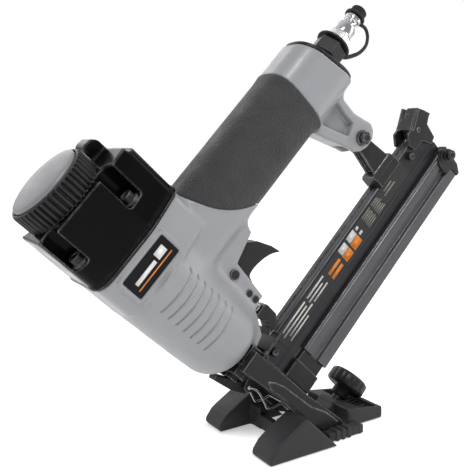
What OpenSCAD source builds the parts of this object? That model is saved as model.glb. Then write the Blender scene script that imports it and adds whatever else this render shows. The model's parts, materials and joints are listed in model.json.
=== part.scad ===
// Pneumatic brad nailer for flooring, standing on its 45 degree shoe.
// Each sub-part is drawn in the tool's own axes: +Z runs up the driver axis from
// the sole to the exhaust deflector, +X runs back along the handle and magazine,
// and the driver axis meets the sole plane at the origin. on_shoe() leans those
// axes back 45 degrees, so that the sole lies on Z = 0.

/* [Head] */
// Height of the top of the head cap above the sole, along the driver axis
cap_top = 247; // [240:1:252]
// Height of the joint between head cap and housing
cap_joint = 204; // [202:1:205]
// Half width of the head, side to side
head_half_w = 28; // [27:0.5:30]
// Front face of the head, from the driver axis
head_front = 30.5; // [30:0.5:32]
// Rear face of the head, from the driver axis
head_rear = 46; // [44:0.5:48]
// Radius of the exhaust deflector
deflector_r = 26.6; // [24:0.2:28]
// Height of the exhaust deflector's knurled band
deflector_h = 15; // [12:1:16]
// Number of flutes round the deflector
flutes = 40; // [24:2:44]

/* [Driver] */
// Bore of the cylinder sleeve
bore_r = 16; // [15.5:0.1:16.5]
// Stroke of the piston
stroke = 64; // [50:1:64]
// Width of the driver blade
blade_w = 6; // [5:0.5:7]
// Thickness of the driver blade
blade_t = 1.3; // [1:0.1:1.3]

/* [Handle] */
// Height of the handle's axis above the sole, along the driver axis
handle_z = 174.5; // [173:0.5:176]
// Height of the handle over the rubber grip
grip_h = 49; // [46:1:50]
// Width of the handle over the rubber grip
grip_w = 39; // [36:1:40]
// Rear end of the rubber grip
grip_end = 150; // [140:1:152]
// Rear end of the handle casting, on its axis
handle_end = 184; // [180:1:186]
// Lean of the handle's end face from upright
end_lean = 14; // [10:1:16]
// Height of the air inlet's axis
inlet_z = 174.5; // [173:0.5:175]

/* [Trigger] */
// Trigger pin, back from the driver axis
pin_x = 34.7; // [34:0.1:36]
// Trigger pin, above the sole
pin_z = 134.5; // [134:0.1:136]
// Radius of the trigger pin
pin_r = 2.5; // [2:0.1:3]

/* [Magazine] */
// Half width of the fixed rail
rail_half_w = 6; // [5.5:0.1:6.5]
// Top of the fixed rail
rail_top = 77.7; // [76:0.1:78]
// Half width of the sliding magazine
mag_half_w = 10; // [9.5:0.1:10.5]
// Top of the sliding magazine
mag_top = 52.6; // [52:0.1:53]
// Underside of the sliding magazine
mag_bottom = 26.5; // [26:0.1:27]
// Rear end of the magazine
mag_end = 216; // [210:1:220]

/* [Shoe] */
// Half width over the two front feet
shoe_half_w = 43; // [40:0.5:45]
// Width of one front foot
foot_w = 22.4; // [20:0.2:24]
// Front tip of the feet on the floor
foot_front = 66; // [60:1:70]
// Rear tip of the rear foot on the floor
foot_rear = 44; // [40:1:48]
// Half width of the rear foot
rear_half_w = 24; // [22:0.5:26]
// Radius of the clamp knob
knob_r = 14.5; // [12:0.5:15]

/* [Hidden] */
$fn = 48;
// Puts the middle of the tool's outline over the origin
centre_x = 34.1;
lean = 45;
gap = 0.4;
fine = 0.05;
gasket_t = 1.2;
cap_bottom = cap_joint + gasket_t;
housing_bore_r = 24;
housing_bottom = 94;
sleeve_bottom = 106;
sleeve_top = 199;
sleeve_r = 18.5;
piston_top = 197;
piston_bottom = 184;
blade_tip = 66;
bumper_top = piston_bottom - stroke - 0.5;
valve_bottom = 199.6;
valve_top = 218;
cap_ceiling = 236;
cap_bolts_at = [[-22.5, -20.5], [-22.5, 20.5], [21.5, -21], [21.5, 21]];
pocket_r = 6.2;
pocket_floor = 223;
bolt_r = 2.5;
bolt_head_r = 4.25;
deflector_z = cap_top + gap;
valve_x = 49;
valve_r = 7;
cheek_half_w = 11;
slot_half_w = 6.3;
nose_bolt_x = -5;
finger_x = 31.5;
safety_yoke = 78.3;
guide_front = 1;
guide_rear = 8.5;
guide_half_w = 12;
arm_bolt = [171.4, 116.3];
door_pin = [-3.6, 8];
latch_pivot = [-13.5, 70];
mag_latch_pivot = [214, 80];
latch_in = 6.3;
latch_out = 8.5;
tongue_half_w = 4.9;
guide_pins_at = [110.5, 117];
stud_z = -6;
bar_in = 22;
bar_out = 27;
foot_back = -8.6;

// ---- placing and drawing helpers ----

// Leans the tool's axes back, so that the sole lies on the floor
module on_shoe() {
    translate([centre_x, 0, 0]) rotate([0, -lean, 0]) children();
}

// The standing axes themselves, with the sole on Z = 0
module standing() {
    translate([centre_x, 0, 0]) children();
}

// An outline of [x, z] points, as a plate from y0 to y1
module side_plate(y0, y1, outline) {
    translate([0, y1, 0]) rotate([90, 0, 0]) linear_extrude(y1 - y0) polygon(outline);
}

// The same plate on both sides of the tool
module side_pair(y0, y1, outline) {
    side_plate(y0, y1, outline);
    side_plate(-y1, -y0, outline);
}

// An outline of [y, z] points, as a bar from x0 to x1
module cross_bar(x0, x1, outline) {
    translate([x0, 0, 0]) rotate([90, 0, 90]) linear_extrude(x1 - x0) polygon(outline);
}

// A block between two corners
module block(low, high) {
    translate(low) cube(high - low);
}

// A round bar along X, along Y or along Z
module x_bar(r, x0, x1, y, z) {
    translate([x0, y, z]) rotate([0, 90, 0]) cylinder(r = r, h = x1 - x0);
}

module y_bar(r, y0, y1, x, z) {
    translate([x, y0, z]) rotate([-90, 0, 0]) cylinder(r = r, h = y1 - y0);
}

module z_bar(r, z0, z1, x = 0, y = 0) {
    translate([x, y, z0]) cylinder(r = r, h = z1 - z0);
}

// A ring about the driver axis
module ring(r_out, r_in, z0, z1) {
    difference() {
        z_bar(r_out, z0, z1);
        z_bar(r_in, z0 - 1, z1 + 1);
    }
}

// A round-section seal about the driver axis
module seal(r_mid, r_wire, z) {
    translate([0, 0, z]) rotate_extrude() translate([r_mid, 0]) circle(r = r_wire, $fn = 16);
}

// A rectangle with round corners, about the origin
module soft_rect(w, h, r) {
    square([w - 2 * r, h], center = true);
    square([w, h - 2 * r], center = true);
    for (sx = [-1, 1], sy = [-1, 1])
        translate([sx * (w / 2 - r), sy * (h / 2 - r)]) circle(r = r);
}

// A handle section of width w and height h, from x0 to x1
module handle_bar(x0, x1, w, h, r) {
    translate([x0, 0, handle_z]) rotate([90, 0, 90]) linear_extrude(x1 - x0) soft_rect(w, h, r);
}

// Points of an arc about c, from angle a0 to a1
function arc(c, r, a0, a1, n = 6) =
    [for (i = [0 : n]) let (a = a0 + (a1 - a0) * i / n) c + r * [cos(a), sin(a)]];

function mirror_y(points) = [for (i = [len(points) - 1 : -1 : 0]) [points[i][0], -points[i][1]]];

// The head's outline from above, inset by d
function head_half(d) = concat(
    arc([head_rear - 8, 14], 8 - d, 0, 75),
    arc([16, head_half_w - 12], 12 - d, 75, 90, 2),
    arc([12 - head_front, head_half_w - 12], 12 - d, 90, 180)
);
function head_outline(d = 0) = concat(head_half(d), mirror_y(head_half(d)));

// A coil spring along +Z from the origin: a round wire swept along a helix
module coil(r, wire, h, turns, steps = 10, sides = 6) {
    n = turns * steps;
    rise = (h - 2 * wire) / n;
    rings = [for (i = [0 : n]) let (a = i * 360 / steps)
        for (j = [0 : sides - 1]) let (b = j * 360 / sides)
            [(r + wire * cos(b)) * cos(a), (r + wire * cos(b)) * sin(a),
             wire + i * rise + wire * sin(b)]];
    walls = [for (i = [0 : n - 1]) for (j = [0 : sides - 1]) let (k = (j + 1) % sides)
        each [[i * sides + j, i * sides + k, (i + 1) * sides + k],
              [i * sides + j, (i + 1) * sides + k, (i + 1) * sides + j]]];
    first = [for (j = [0 : sides - 1]) sides - 1 - j];
    last = [for (j = [0 : sides - 1]) n * sides + j];
    polyhedron(points = rings,
        faces = [for (f = concat(walls, [first, last])) [for (i = [len(f) - 1 : -1 : 0]) f[i]]]);
}

// ---- housing and handle ----

arm_top = 149.4;
arm_outline = [[150, 158], [150, arm_top], [144.7, arm_top], [146, 147], [158.5, 119], [160.5, 113.5],
    [165, 109.5], [171, 107.5],
    [178, 108], [183, 111.5], [185, 117], [182, 125], [179.5, 133], [179.5, 146], [184, 158]];
arm_pocket = [[153, 150], [160, 135], [164.5, 125], [173.5, 129], [173, 138], [174, 150]];
cheek_outline = [[14, 160], [66, 160], [67.5, 155.5], [65.4, 148.3], [63.5, 142.3], [42, 136.8],
    [38.2, 106.3], [26.1, 105.7], [18.4, 88.7], [9, 86], [9, 112]];

// The casting is kept as three lengths: the head with the root of the handle, the
// tube inside the rubber grip, and the rear with its arm
handle_joint = 85;

// Where the housing shows ahead of the rubber grip, from the side
grip_front = concat([[2, 220], [42, 220], [46, 204]], arc([113, 213], 68, 189, 238, 8),
    [[84, 145], [2, 145]]);

module head_flange() {
    translate([0, 0, 188]) linear_extrude(cap_joint - 188) polygon(head_outline());
}

module barrel() {
    rotate_extrude($fn = 96) polygon(concat(
        [[0, housing_bottom], [9, housing_bottom]],
        arc([9, 113], 19, -90, -8, 8),
        [[28.8, 127], [30.6, 175], [30.6, cap_joint], [0, cap_joint]]
    ));
}

module casting() {
    difference() {
        union() {
            barrel();
            head_flange();
            intersection() {
                handle_bar(4, 100, grip_w, grip_h, 14);
                side_plate(-30, 30, grip_front);
            }
            handle_bar(40, grip_end, grip_w - 5, grip_h - 5, 13);
            handle_bar(grip_end, 200, grip_w - 1, grip_h, 14);
            side_plate(-9, 9, arm_outline);
            side_plate(-cheek_half_w, cheek_half_w, cheek_outline);
            // raised pads behind the badges
            block([-21, -head_half_w, 180], [21, head_half_w, 202]);
        }
        // flats behind the badges
        side_pair(head_half_w, head_half_w + 5, [[-21, 180], [21, 180], [21, 210], [-21, 210]]);
        // end face of the handle
        translate([handle_end, 0, handle_z]) rotate([0, -end_lean, 0])
            block([0, -40, -60], [40, 40, 60]);
        // cylinder chamber and air chamber
        z_bar(housing_bore_r, sleeve_bottom, cap_joint + 1);
        z_bar(9, housing_bottom - 12, sleeve_bottom + 1);
        x_bar(13, 20, handle_end + 20, 0, handle_z);
        for (at = cap_bolts_at) z_bar(bolt_r + fine, 190, cap_joint + 1, at[0], at[1]);
        // recessed web of the rear arm
        side_pair(3, 10, arm_pocket);
        y_bar(bolt_r + fine, -12, 12, arm_bolt[0], arm_bolt[1]);
        // fork at the end of the arm
        block([150, -tongue_half_w - 0.2, 100], [190, tongue_half_w + 0.2, 123.6]);
        // slot for the trigger and the safety finger
        block([finger_x - 8, -slot_half_w, 109], [75, slot_half_w, 144]);
        block([finger_x - 8, -slot_half_w, 80], [75, slot_half_w, 106.5]);
        z_bar(3.4, 100, 112, finger_x);
        y_bar(pin_r + fine, -15, 15, pin_x, pin_z);
        z_bar(valve_r, 140, handle_z, valve_x);
        for (z = guide_pins_at, s = [-1, 1])
            y_bar(1.8, s > 0 ? slot_half_w : -15, s > 0 ? 15 : -slot_half_w, 32.6, z);
        // holes for the nose bolts
        for (s = [-1, 1]) z_bar(bolt_r + fine, 80, 104, nose_bolt_x, s * 14.5);
    }
}

module housing() {
    color([0.66, 0.66, 0.68]) on_shoe() intersection() {
        casting();
        block([-60, -60, 60], [handle_joint, 60, 240]);
    }
}

module handle_tube() {
    color([0.66, 0.66, 0.68]) on_shoe() intersection() {
        casting();
        block([handle_joint, -60, arm_top + 1.6], [grip_end, 60, 240]);
    }
}

module handle_rear() {
    color([0.66, 0.66, 0.68]) on_shoe() intersection() {
        casting();
        union() {
            block([grip_end, -60, 60], [240, 60, 240]);
            block([140, -60, 60], [grip_end + 1, 60, arm_top]);
        }
    }
}

module badge_plate() {
    color([0.08, 0.08, 0.09]) on_shoe() for (s = [-1, 1])
        translate([0, s * head_half_w, 191.5]) rotate([-90 * s, 0, 0])
            linear_extrude(0.5) soft_rect(36, 15, 1);
}

module grip_sleeve() {
    color([0.2, 0.2, 0.21]) on_shoe() difference() {
        handle_bar(40, grip_end, grip_w + 1, grip_h + 1, 14.5);
        handle_bar(39, grip_end + 1, grip_w - 5, grip_h - 5, 13);
        // the front edge sweeps back from the top of the handle to its underside
        side_plate(-30, 30, grip_front);
    }
}

module end_cap() {
    color([0.1, 0.1, 0.11]) on_shoe()
        translate([handle_end, 0, handle_z]) rotate([0, -end_lean, 0]) difference() {
            rotate([90, 0, 90]) linear_extrude(3) soft_rect(grip_w - 3, grip_h - 1, 13);
            translate([0, 0, (inlet_z - handle_z) / cos(end_lean)]) rotate([0, 90 + end_lean, 0])
                translate([0, 0, -5]) cylinder(r = 8.1, h = 12);
        }
}

module inlet_adapter() {
    color([0.12, 0.12, 0.13]) on_shoe() difference() {
        union() {
            x_bar(8, 170, 191, 0, inlet_z);
            translate([190.8, 0, inlet_z]) rotate([0, 90, 0]) rotate(30)
                cylinder(r = 11.8, h = 12.2, $fn = 6);
        }
        x_bar(4.5, 165, 204, 0, inlet_z);
    }
}

module air_plug() {
    color([0.75, 0.75, 0.77]) on_shoe() difference() {
        union() {
            x_bar(4.4, 186, 206, 0, inlet_z);
            translate([205.3, 0, inlet_z]) rotate([0, 90, 0]) cylinder(r = 8.8, h = 8.8, $fn = 6);
            x_bar(7, 214, 222.6, 0, inlet_z);
            x_bar(4.5, 222.5, 227.1, 0, inlet_z);
            x_bar(6.1, 227, 230.3, 0, inlet_z);
            x_bar(4.1, 230.2, 236.4, 0, inlet_z);
        }
        x_bar(2.4, 180, 240, 0, inlet_z);
    }
}

module dust_cap() {
    color([0.1, 0.1, 0.1]) on_shoe() difference() {
        union() {
            x_bar(7.6, 230.6, 232.8, 0, inlet_z);
            x_bar(5.8, 230.6, 237.8, 0, inlet_z);
            x_bar(4.9, 237, 238.7, 0, inlet_z);
        }
        x_bar(4.17, 230, 236.8, 0, inlet_z);
    }
}

// Rubber strap: a ring behind the plug and a tail that loops up to the dust cap
module dust_cap_strap() {
    color([0.1, 0.1, 0.1]) on_shoe() {
        difference() {
            x_bar(12.6, 203.1, 205.2, 0, inlet_z);
            x_bar(4.5, 202, 206, 0, inlet_z);
        }
        side_plate(-1.6, 1.6, [[203.1, 164], [203.3, 161], [209.5, 157.2], [217.2, 153.4], [225.6, 152.8],
            [232, 156], [234.4, 161.5], [233, 166.8], [231, 166.8], [232, 162.2], [230, 158], [225, 155],
            [217.8, 155.6], [210.8, 159.2], [205.6, 161.6], [205.2, 164]]);
    }
}

// ---- head ----

module cap_casting() {
    difference() {
        union() {
            translate([0, 0, cap_bottom]) linear_extrude(cap_top - cap_bottom - 2)
                polygon(head_outline());
            translate([0, 0, cap_top - 2]) linear_extrude(2) polygon(head_outline(1.5));
            // flat side panels
            side_pair(head_half_w - 2, head_half_w + 0.8, [[-16, 221], [14, 221], [14, 246], [-16, 246]]);
            // rear hood over the exhaust side
            side_plate(6, 23, concat([[29.5, cap_top - 3]], arc([34, 253], 4.5, 180, 90, 5),
                [[38, 257], [42, 252.5], [44.5, cap_top - 3]]));
        }
        z_bar(21.6, cap_bottom - 1, cap_ceiling);
        for (at = cap_bolts_at) {
            z_bar(pocket_r, pocket_floor, cap_top + 1, at[0], at[1]);
            // each pocket opens to the side of the head
            translate([at[0], at[1], pocket_floor]) rotate(sign(at[1]) * (at[0] < 0 ? 125 : 80))
                translate([0, 0.3 - pocket_r, 0]) cube([14, 2 * pocket_r - 0.6, 40]);
            z_bar(bolt_r + fine, cap_bottom - 1, pocket_floor + 1, at[0], at[1]);
        }
        for (a = [0 : 60 : 300]) z_bar(3, cap_ceiling - 1, cap_top + 1, 12 * cos(a), 12 * sin(a));
        z_bar(3, cap_ceiling - 1, cap_top + 1);
    }
}

// The cap is kept as two layers, above and below the floors of its bolt pockets
module cap_layer(z0, z1) {
    color([0.05, 0.05, 0.055]) on_shoe() intersection() {
        cap_casting();
        block([-60, -60, z0], [60, 60, z1]);
    }
}

module head_cap() {
    cap_layer(pocket_floor, 280);
}

module cap_flange() {
    cap_layer(200, pocket_floor);
}

module cap_bolts() {
    color([0.15, 0.15, 0.16]) on_shoe() for (at = cap_bolts_at) difference() {
        union() {
            z_bar(bolt_head_r, pocket_floor, pocket_floor + 5.5, at[0], at[1]);
            z_bar(bolt_r, 192, pocket_floor + 1, at[0], at[1]);
        }
        translate([at[0], at[1], pocket_floor + 2.5]) cylinder(r = 2.4, h = 4, $fn = 6);
    }
}

module cap_gasket() {
    color([0.06, 0.06, 0.06]) on_shoe() difference() {
        translate([0, 0, cap_joint]) linear_extrude(gasket_t) polygon(head_outline(0.8));
        z_bar(housing_bore_r, cap_joint - 1, cap_bottom + 1);
        for (at = cap_bolts_at) z_bar(bolt_r + fine, cap_joint - 1, cap_bottom + 1, at[0], at[1]);
    }
}

module exhaust_deflector() {
    color([0.09, 0.09, 0.1]) on_shoe() difference() {
        z_bar(deflector_r, deflector_z, deflector_z + deflector_h);
        // hollow below, with the exhaust port through the front of the band
        ring(deflector_r - 3, 8, deflector_z - 1, deflector_z + 8);
        block([-40, -11, deflector_z - 1], [-18, 11, deflector_z + 5]);
        z_bar(4.06, deflector_z - 1, deflector_z + 20);
        ring(23, 9, deflector_z + deflector_h - 1.4, deflector_z + deflector_h + 1);
        z_bar(9.5, deflector_z + deflector_h - 4.4, deflector_z + deflector_h + 1);
        for (i = [0 : flutes - 1]) rotate(i * 360 / flutes)
            z_bar(0.95, deflector_z + 1.4, deflector_z + 20, deflector_r + 0.2, 0, $fn = 14);
    }
}

module deflector_disc() {
    dome_r = 72;
    color([0.68, 0.68, 0.7]) on_shoe() translate([0, 0, deflector_z + deflector_h - 1.4])
        intersection() {
            cylinder(r = 22.8, h = 12);
            translate([0, 0, 7.2 - dome_r]) rotate_extrude($fn = 96)
                intersection() {
                    circle(r = dome_r, $fn = 180);
                    square([dome_r + 1, dome_r + 1]);
                }
        }
}

module deflector_screw() {
    color([0.3, 0.3, 0.31]) on_shoe() {
        z_bar(2.95, cap_ceiling + 1, cap_top);
        z_bar(4, cap_top, deflector_z + deflector_h - 4.1);
        z_bar(8, deflector_z + deflector_h - 4.1, deflector_z + deflector_h - 1.9);
    }
}

module head_valve() {
    color([0.85, 0.83, 0.78]) on_shoe() difference() {
        union() {
            z_bar(21.5, valve_bottom + 6, valve_top);
            z_bar(19, valve_bottom, valve_top);
        }
        z_bar(10, valve_bottom - 1, valve_top + 1);
        ring(30, 20, valve_bottom + 10.6, valve_bottom + 13);
        ring(17.5, 12, valve_top - 6, valve_top + 1);
    }
}

module head_valve_seals() {
    color([0.07, 0.07, 0.07]) on_shoe() seal(20.75, 0.75, valve_bottom + 11.8);
}

module head_valve_spring() {
    color([0.7, 0.7, 0.72]) on_shoe() translate([0, 0, valve_top - 5.9])
        coil(14.7, 0.9, cap_ceiling - valve_top + 5.7, 4, 16);
}

module cylinder_sleeve() {
    color([0.78, 0.79, 0.8]) on_shoe() difference() {
        union() {
            z_bar(sleeve_r, sleeve_bottom, sleeve_top);
            z_bar(housing_bore_r - fine, 150, 157);
            z_bar(housing_bore_r - fine, sleeve_bottom, 112);
        }
        z_bar(bore_r, sleeve_bottom - 1, sleeve_top + 1);
        ring(30, 22, 152.3, 154.7);
        ring(30, 22, 107.8, 110.2);
        for (a = [0 : 45 : 315]) rotate(a) x_bar(1.5, 10, 22, 0, 124);
    }
}

module sleeve_seals() {
    color([0.07, 0.07, 0.07]) on_shoe() for (z = [153.5, 109]) seal(23, 0.95, z);
}

module piston() {
    color([0.8, 0.8, 0.82]) on_shoe() difference() {
        z_bar(bore_r - 0.08, piston_bottom, piston_top);
        ring(20, 14, piston_bottom + 5, piston_bottom + 7.6);
        z_bar(9, piston_top - 5, piston_top + 1);
        block([-blade_t / 2, -blade_w / 2, piston_bottom - 1], [blade_t / 2, blade_w / 2, piston_bottom + 5]);
    }
}

module piston_ring() {
    color([0.07, 0.07, 0.07]) on_shoe() seal(14.95, 0.93, piston_bottom + 6.3);
}

module driver_blade() {
    color([0.55, 0.56, 0.58]) on_shoe()
        block([-blade_t / 2, -blade_w / 2, blade_tip], [blade_t / 2, blade_w / 2, piston_bottom + 5]);
}

module bumper() {
    color([0.15, 0.13, 0.12]) on_shoe() ring(bore_r - 0.3, 5.5, sleeve_bottom, bumper_top);
}

// ---- trigger and valve ----

module trigger() {
    color([0.09, 0.09, 0.1]) on_shoe() difference() {
        side_plate(-5.8, 5.8, concat([[31, 131], [30.6, 135], [32, 138], [35, 139.3], [49.5, 139.5],
            [58.2, 137.6], [64, 131.5], [68.5, 121], [70.3, 112.7]],
            arc([64.8, 140.5], 28, -80, -116, 5),
            [[46.5, 120.9], [42.5, 120.2], [40.9, 115.8], [39.3, 116.2], [39.2, 124]]));
        y_bar(pin_r + fine, -10, 10, pin_x, pin_z);
        side_pair(2.5, 8, [[46, 137.5], [57, 136], [62, 131], [50, 131]]);
        y_bar(1.5, -10, 10, 60, 126);
    }
}

module trigger_pin() {
    color([0.06, 0.06, 0.06]) on_shoe() {
        y_bar(pin_r, -12.5, 12.5, pin_x, pin_z);
        for (s = [-1, 1]) y_bar(3.4, s > 0 ? 11 : -12.8, s > 0 ? 12.8 : -11, pin_x, pin_z);
    }
}

module guide_pins() {
    color([0.06, 0.06, 0.06]) on_shoe() for (z = guide_pins_at, s = [-1, 1]) {
        y_bar(1.75, s > 0 ? slot_half_w + 0.2 : -12, s > 0 ? 12 : -slot_half_w - 0.2, 32.6, z);
        y_bar(2.6, s > 0 ? 11 : -12, s > 0 ? 12 : -11, 32.6, z);
    }
}

module trigger_valve_body() {
    color([0.15, 0.15, 0.16]) on_shoe() difference() {
        z_bar(valve_r - 0.02, 144.4, 162, valve_x);
        z_bar(2.08, 140, 170, valve_x);
        z_bar(4.5, 152, 170, valve_x);
    }
}

module valve_stem() {
    color([0.6, 0.6, 0.62]) on_shoe() {
        z_bar(2, 139.9, 158, valve_x);
        z_bar(4.1, 152.3, 154.3, valve_x);
    }
}

module valve_spring() {
    color([0.7, 0.7, 0.72]) on_shoe() translate([valve_x, 0, 154.4]) coil(3.2, 0.45, 7.4, 4);
}

// ---- nose ----

module nose_block() {
    color([0.1, 0.1, 0.11]) on_shoe() difference() {
        union() {
            block([-14, -17, 86], [8.4, 17, housing_bottom]);
            block([-13.6, -11, 80], [-10.2, 11, 86]);
        }
        block([-0.9, -3.3, 70], [0.9, 3.3, 100]);
        for (s = [-1, 1]) z_bar(bolt_r + fine, 80, 100, nose_bolt_x, s * 14.5);
    }
}

module nose_bolts() {
    color([0.2, 0.2, 0.21]) on_shoe() {
        for (s = [-1, 1]) {
            z_bar(bolt_r, 81, 103, nose_bolt_x, s * 14.5);
            z_bar(3.9, 78.2, 82, nose_bolt_x, s * 14.5);
            translate([-17, s * 6, 87.5]) rotate([0, 90, 0]) cylinder(r = 3.2, h = 3);
            translate([-16.6, s * 6, 82.6]) rotate([0, 90, 0]) cylinder(r = 1.6, h = 3);
        }
    }
}

guide_outline = [[guide_front, 82], [guide_front, 2], [guide_rear, -6], [guide_rear, 82]];

module driver_guide() {
    color([0.16, 0.16, 0.17]) on_shoe() difference() {
        side_plate(-guide_half_w, guide_half_w, guide_outline);
        block([-2, -4.4, 30], [20, 4.4, 72]);
        // lead-in for the driver blade
        block([-2, -3.3, 60], [1.2, 3.3, 90]);
    }
    // ears for the front plate's hinge pin
    color([0.16, 0.16, 0.17]) on_shoe() difference() {
        side_pair(9.6, guide_half_w, [[guide_front + 0.1, 3], [guide_front + 0.1, 20], [-6, 14], [-6.2, 8],
            [-4.5, 5.4], [-2, 4]]);
        y_bar(1.25, -20, 20, door_pin[0], door_pin[1]);
    }
}

// Hinged plate that closes the front of the driver track
module front_guide_plate() {
    color([0.13, 0.13, 0.14]) on_shoe() difference() {
        union() {
            side_plate(-9.2, 9.2, [[-1, 8], [-1, 79], [-4.2, 79], [-5.4, 60], [-5.4, 8.6], [-4.4, 5.6],
                [-2.6, 5.4]]);
            side_pair(4.6, 9, [[-1.1, 14], [0.4, 14], [0.4, 76], [-1.1, 76]]);
            side_pair(4.2, 7, [[-5, 60], [-15, 66], [-17, 70], [-15.5, 73.6], [-5, 76]]);
        }
        y_bar(1.25, -20, 20, door_pin[0], door_pin[1]);
        y_bar(1.55, -20, 20, latch_pivot[0], latch_pivot[1]);
    }
}

module guide_plate_pin() {
    color([0.5, 0.5, 0.52]) on_shoe() y_bar(1.2, -12.4, 12.4, door_pin[0], door_pin[1]);
}

// Wire bail that reaches from the lever down to the lugs of the nose
module latch_wire() {
    wire = 0.9;
    leg_y = 7.9;
    path = [[-12.6, 68], [-11.6, 62.6], [-16, 48], [-13, 45], [-6.3, 40.4]];
    color([0.78, 0.78, 0.8]) on_shoe() {
        for (s = [-1, 1]) {
            for (i = [0 : len(path) - 2]) {
                step = path[i + 1] - path[i];
                translate([path[i][0], s * leg_y, path[i][1]]) rotate([0, atan2(step[0], step[1]), 0])
                    cylinder(r = wire, h = norm(step));
            }
            for (p = path) translate([p[0], s * leg_y, p[1]]) sphere(r = wire + fine);
        }
        y_bar(wire, -leg_y, leg_y, path[4][0], path[4][1]);
    }
}

module nose_latch_lever() {
    color([0.14, 0.14, 0.15]) on_shoe() difference() {
        union() {
            side_plate(-3.8, 3.8, [[-11.4, 68], [-11, 72.5], [-14, 76.5], [-18.6, 89.5], [-21.3, 95.6],
                [-24.4, 94.6], [-21.8, 76.5], [-18.5, 68], [-14.5, 65.4]]);
            side_plate(-4.6, 4.6, [[-18.6, 89.5], [-21.3, 95.6], [-24.4, 94.6], [-22.3, 80], [-19.2, 80.6]]);
        }
        y_bar(1.5, -10, 10, latch_pivot[0], latch_pivot[1]);
        // weight-saving window in the thumb tab
        block([-26, -1.6, 82], [-15, 1.6, 90]);
    }
}

module nose_latch_pin() {
    color([0.5, 0.5, 0.52]) on_shoe() y_bar(1.45, -7.6, 7.6, latch_pivot[0], latch_pivot[1]);
}

// ---- safety ----

module work_contact() {
    color([0.15, 0.15, 0.16]) on_shoe() {
        side_pair(guide_half_w + gap, guide_half_w + 2.4,
            [[0.6, 0.4], [2.6, 0.2], [3.2, -1.9], [5, -2.2], [5.6, -4.4], [8.3, -7], [8.3, safety_yoke],
             [12, safety_yoke], [12, 80.2], [0.6, 80.2]]);
    }
}

module safety_arm() {
    color([0.1, 0.1, 0.11]) on_shoe() {
        block([12, -14.4, safety_yoke], [27, 14.4, 80.2]);
        side_plate(-5.5, 5.5, [[22, 80.2], [22, 79], [27, safety_yoke], [31, safety_yoke + 1], [37, 86],
            [37.4, 96], [35.4, 98], [27, 98], [26.4, 94], [28.5, 87], [26, 82.4]]);
        z_bar(2.9, 97, 117, finger_x);
    }
}

module safety_spring() {
    color([0.7, 0.7, 0.72]) on_shoe() translate([finger_x, 0, 98.1]) coil(4, 0.6, 8.2, 4);
}

bar_outline = [[-10.9, 96], [4.4, 96], [5.2, 74], [5.9, 41.7], [8.2, 18.5],
    [9.2, 4.7], [6.9, -5.9], [-5, 6], [-8, 12], [-8, 57], [-9.4, 78]];

// Two side bars that carry the shoe, joined by a plate under the nose block
module base_frame() {
    color([0.2, 0.2, 0.21]) on_shoe() difference() {
        union() {
            side_pair(bar_in, bar_out, bar_outline);
            side_pair(bar_out - 0.2, bar_out + 0.8, [[-7.6, 70], [-5, 75], [-2.5, 70], [-0.5, 62], [1.4, 34],
                [5.5, 20], [6.5, 6], [-3.4, 12], [-6.8, 26], [-6.6, 58]]);
            block([-10, -bar_in - 0.1, 82], [8.4, bar_in + 0.1, 86]);
        }
        block([-0.9, -3.3, 80], [0.9, 3.3, 90]);
        for (s = [-1, 1]) {
            z_bar(bolt_r + fine, 80, 90, nose_bolt_x, s * 14.5);
            // slots for the legs of the work contact
            translate([0.1, s > 0 ? 12 : -14.9, 80]) cube([9, 2.9, 10]);
        }
    }
}

// ---- magazine ----

module magazine_rail() {
    color([0.25, 0.25, 0.26]) on_shoe() difference() {
        union() {
            cross_bar(guide_rear, mag_end + 4, [[-rail_half_w, 61], [-rail_half_w, rail_top - 1.2],
                [1.2 - rail_half_w, rail_top], [rail_half_w - 1.2, rail_top],
                [rail_half_w, rail_top - 1.2], [rail_half_w, 61], [6.8, 60], [6.8, 53.1], [-6.8, 53.1],
                [-6.8, 60]]);
            cross_bar(guide_rear + 0.5, mag_end - 8, [[-3, 36], [3, 36], [3, 54], [-3, 54]]);
        }
        // groove along the top for the fasteners' view slot
        block([30, -1, rail_top - 2], [150, 1, rail_top + 1]);
    }
    color([0.25, 0.25, 0.26]) on_shoe() difference() {
        side_plate(-5, 5, [[204, rail_top - 1], [220, rail_top - 1], [219, 82], [216, 82.4], [212.2, 82.4],
            [208, rail_top]]);
        y_bar(1.55, -12, 12, mag_latch_pivot[0], mag_latch_pivot[1]);
    }
}

module rail_label() {
    color([0.28, 0.28, 0.27]) on_shoe() side_plate(-rail_half_w - 0.3, -rail_half_w,
        [[24, 62], [186, 62], [186, 76], [24, 76]]);
}

module catch_screws() {
    color([0.12, 0.12, 0.13]) on_shoe() for (s = [-1, 1]) {
        y_bar(3, s > 0 ? rail_half_w : -9.2, s > 0 ? 9.2 : -rail_half_w, 195.5, 71);
        y_bar(3, s > 0 ? rail_half_w : -9.2, s > 0 ? 9.2 : -rail_half_w, 16, 70);
    }
}

// Tongue that hangs in the arm's fork and stands on the rail
module hanger_bracket() {
    color([0.09, 0.09, 0.1]) on_shoe() difference() {
        union() {
            side_plate(-tongue_half_w, tongue_half_w, [[163.5, 84], [166.2, 106], [164.6, 113], [166, 119],
                [171.4, 122.4], [176.6, 119.6], [178.4, 113], [178.2, 106.9], [181.7, 88.7], [181.7, 84]]);
            // foot that hugs the top of the rail
            cross_bar(160, 184, [[-8, 76.2], [-8, 83.6], [-5.6, 87], [5.6, 87], [8, 83.6], [8, 76.2],
                [rail_half_w, 76.2], [rail_half_w, rail_top - 1.2], [rail_half_w - 1.2, rail_top],
                [1.2 - rail_half_w, rail_top], [-rail_half_w, rail_top - 1.2], [-rail_half_w, 76.2]]);
        }
        y_bar(bolt_r + fine, -14, 14, arm_bolt[0], arm_bolt[1]);
    }
}

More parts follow.
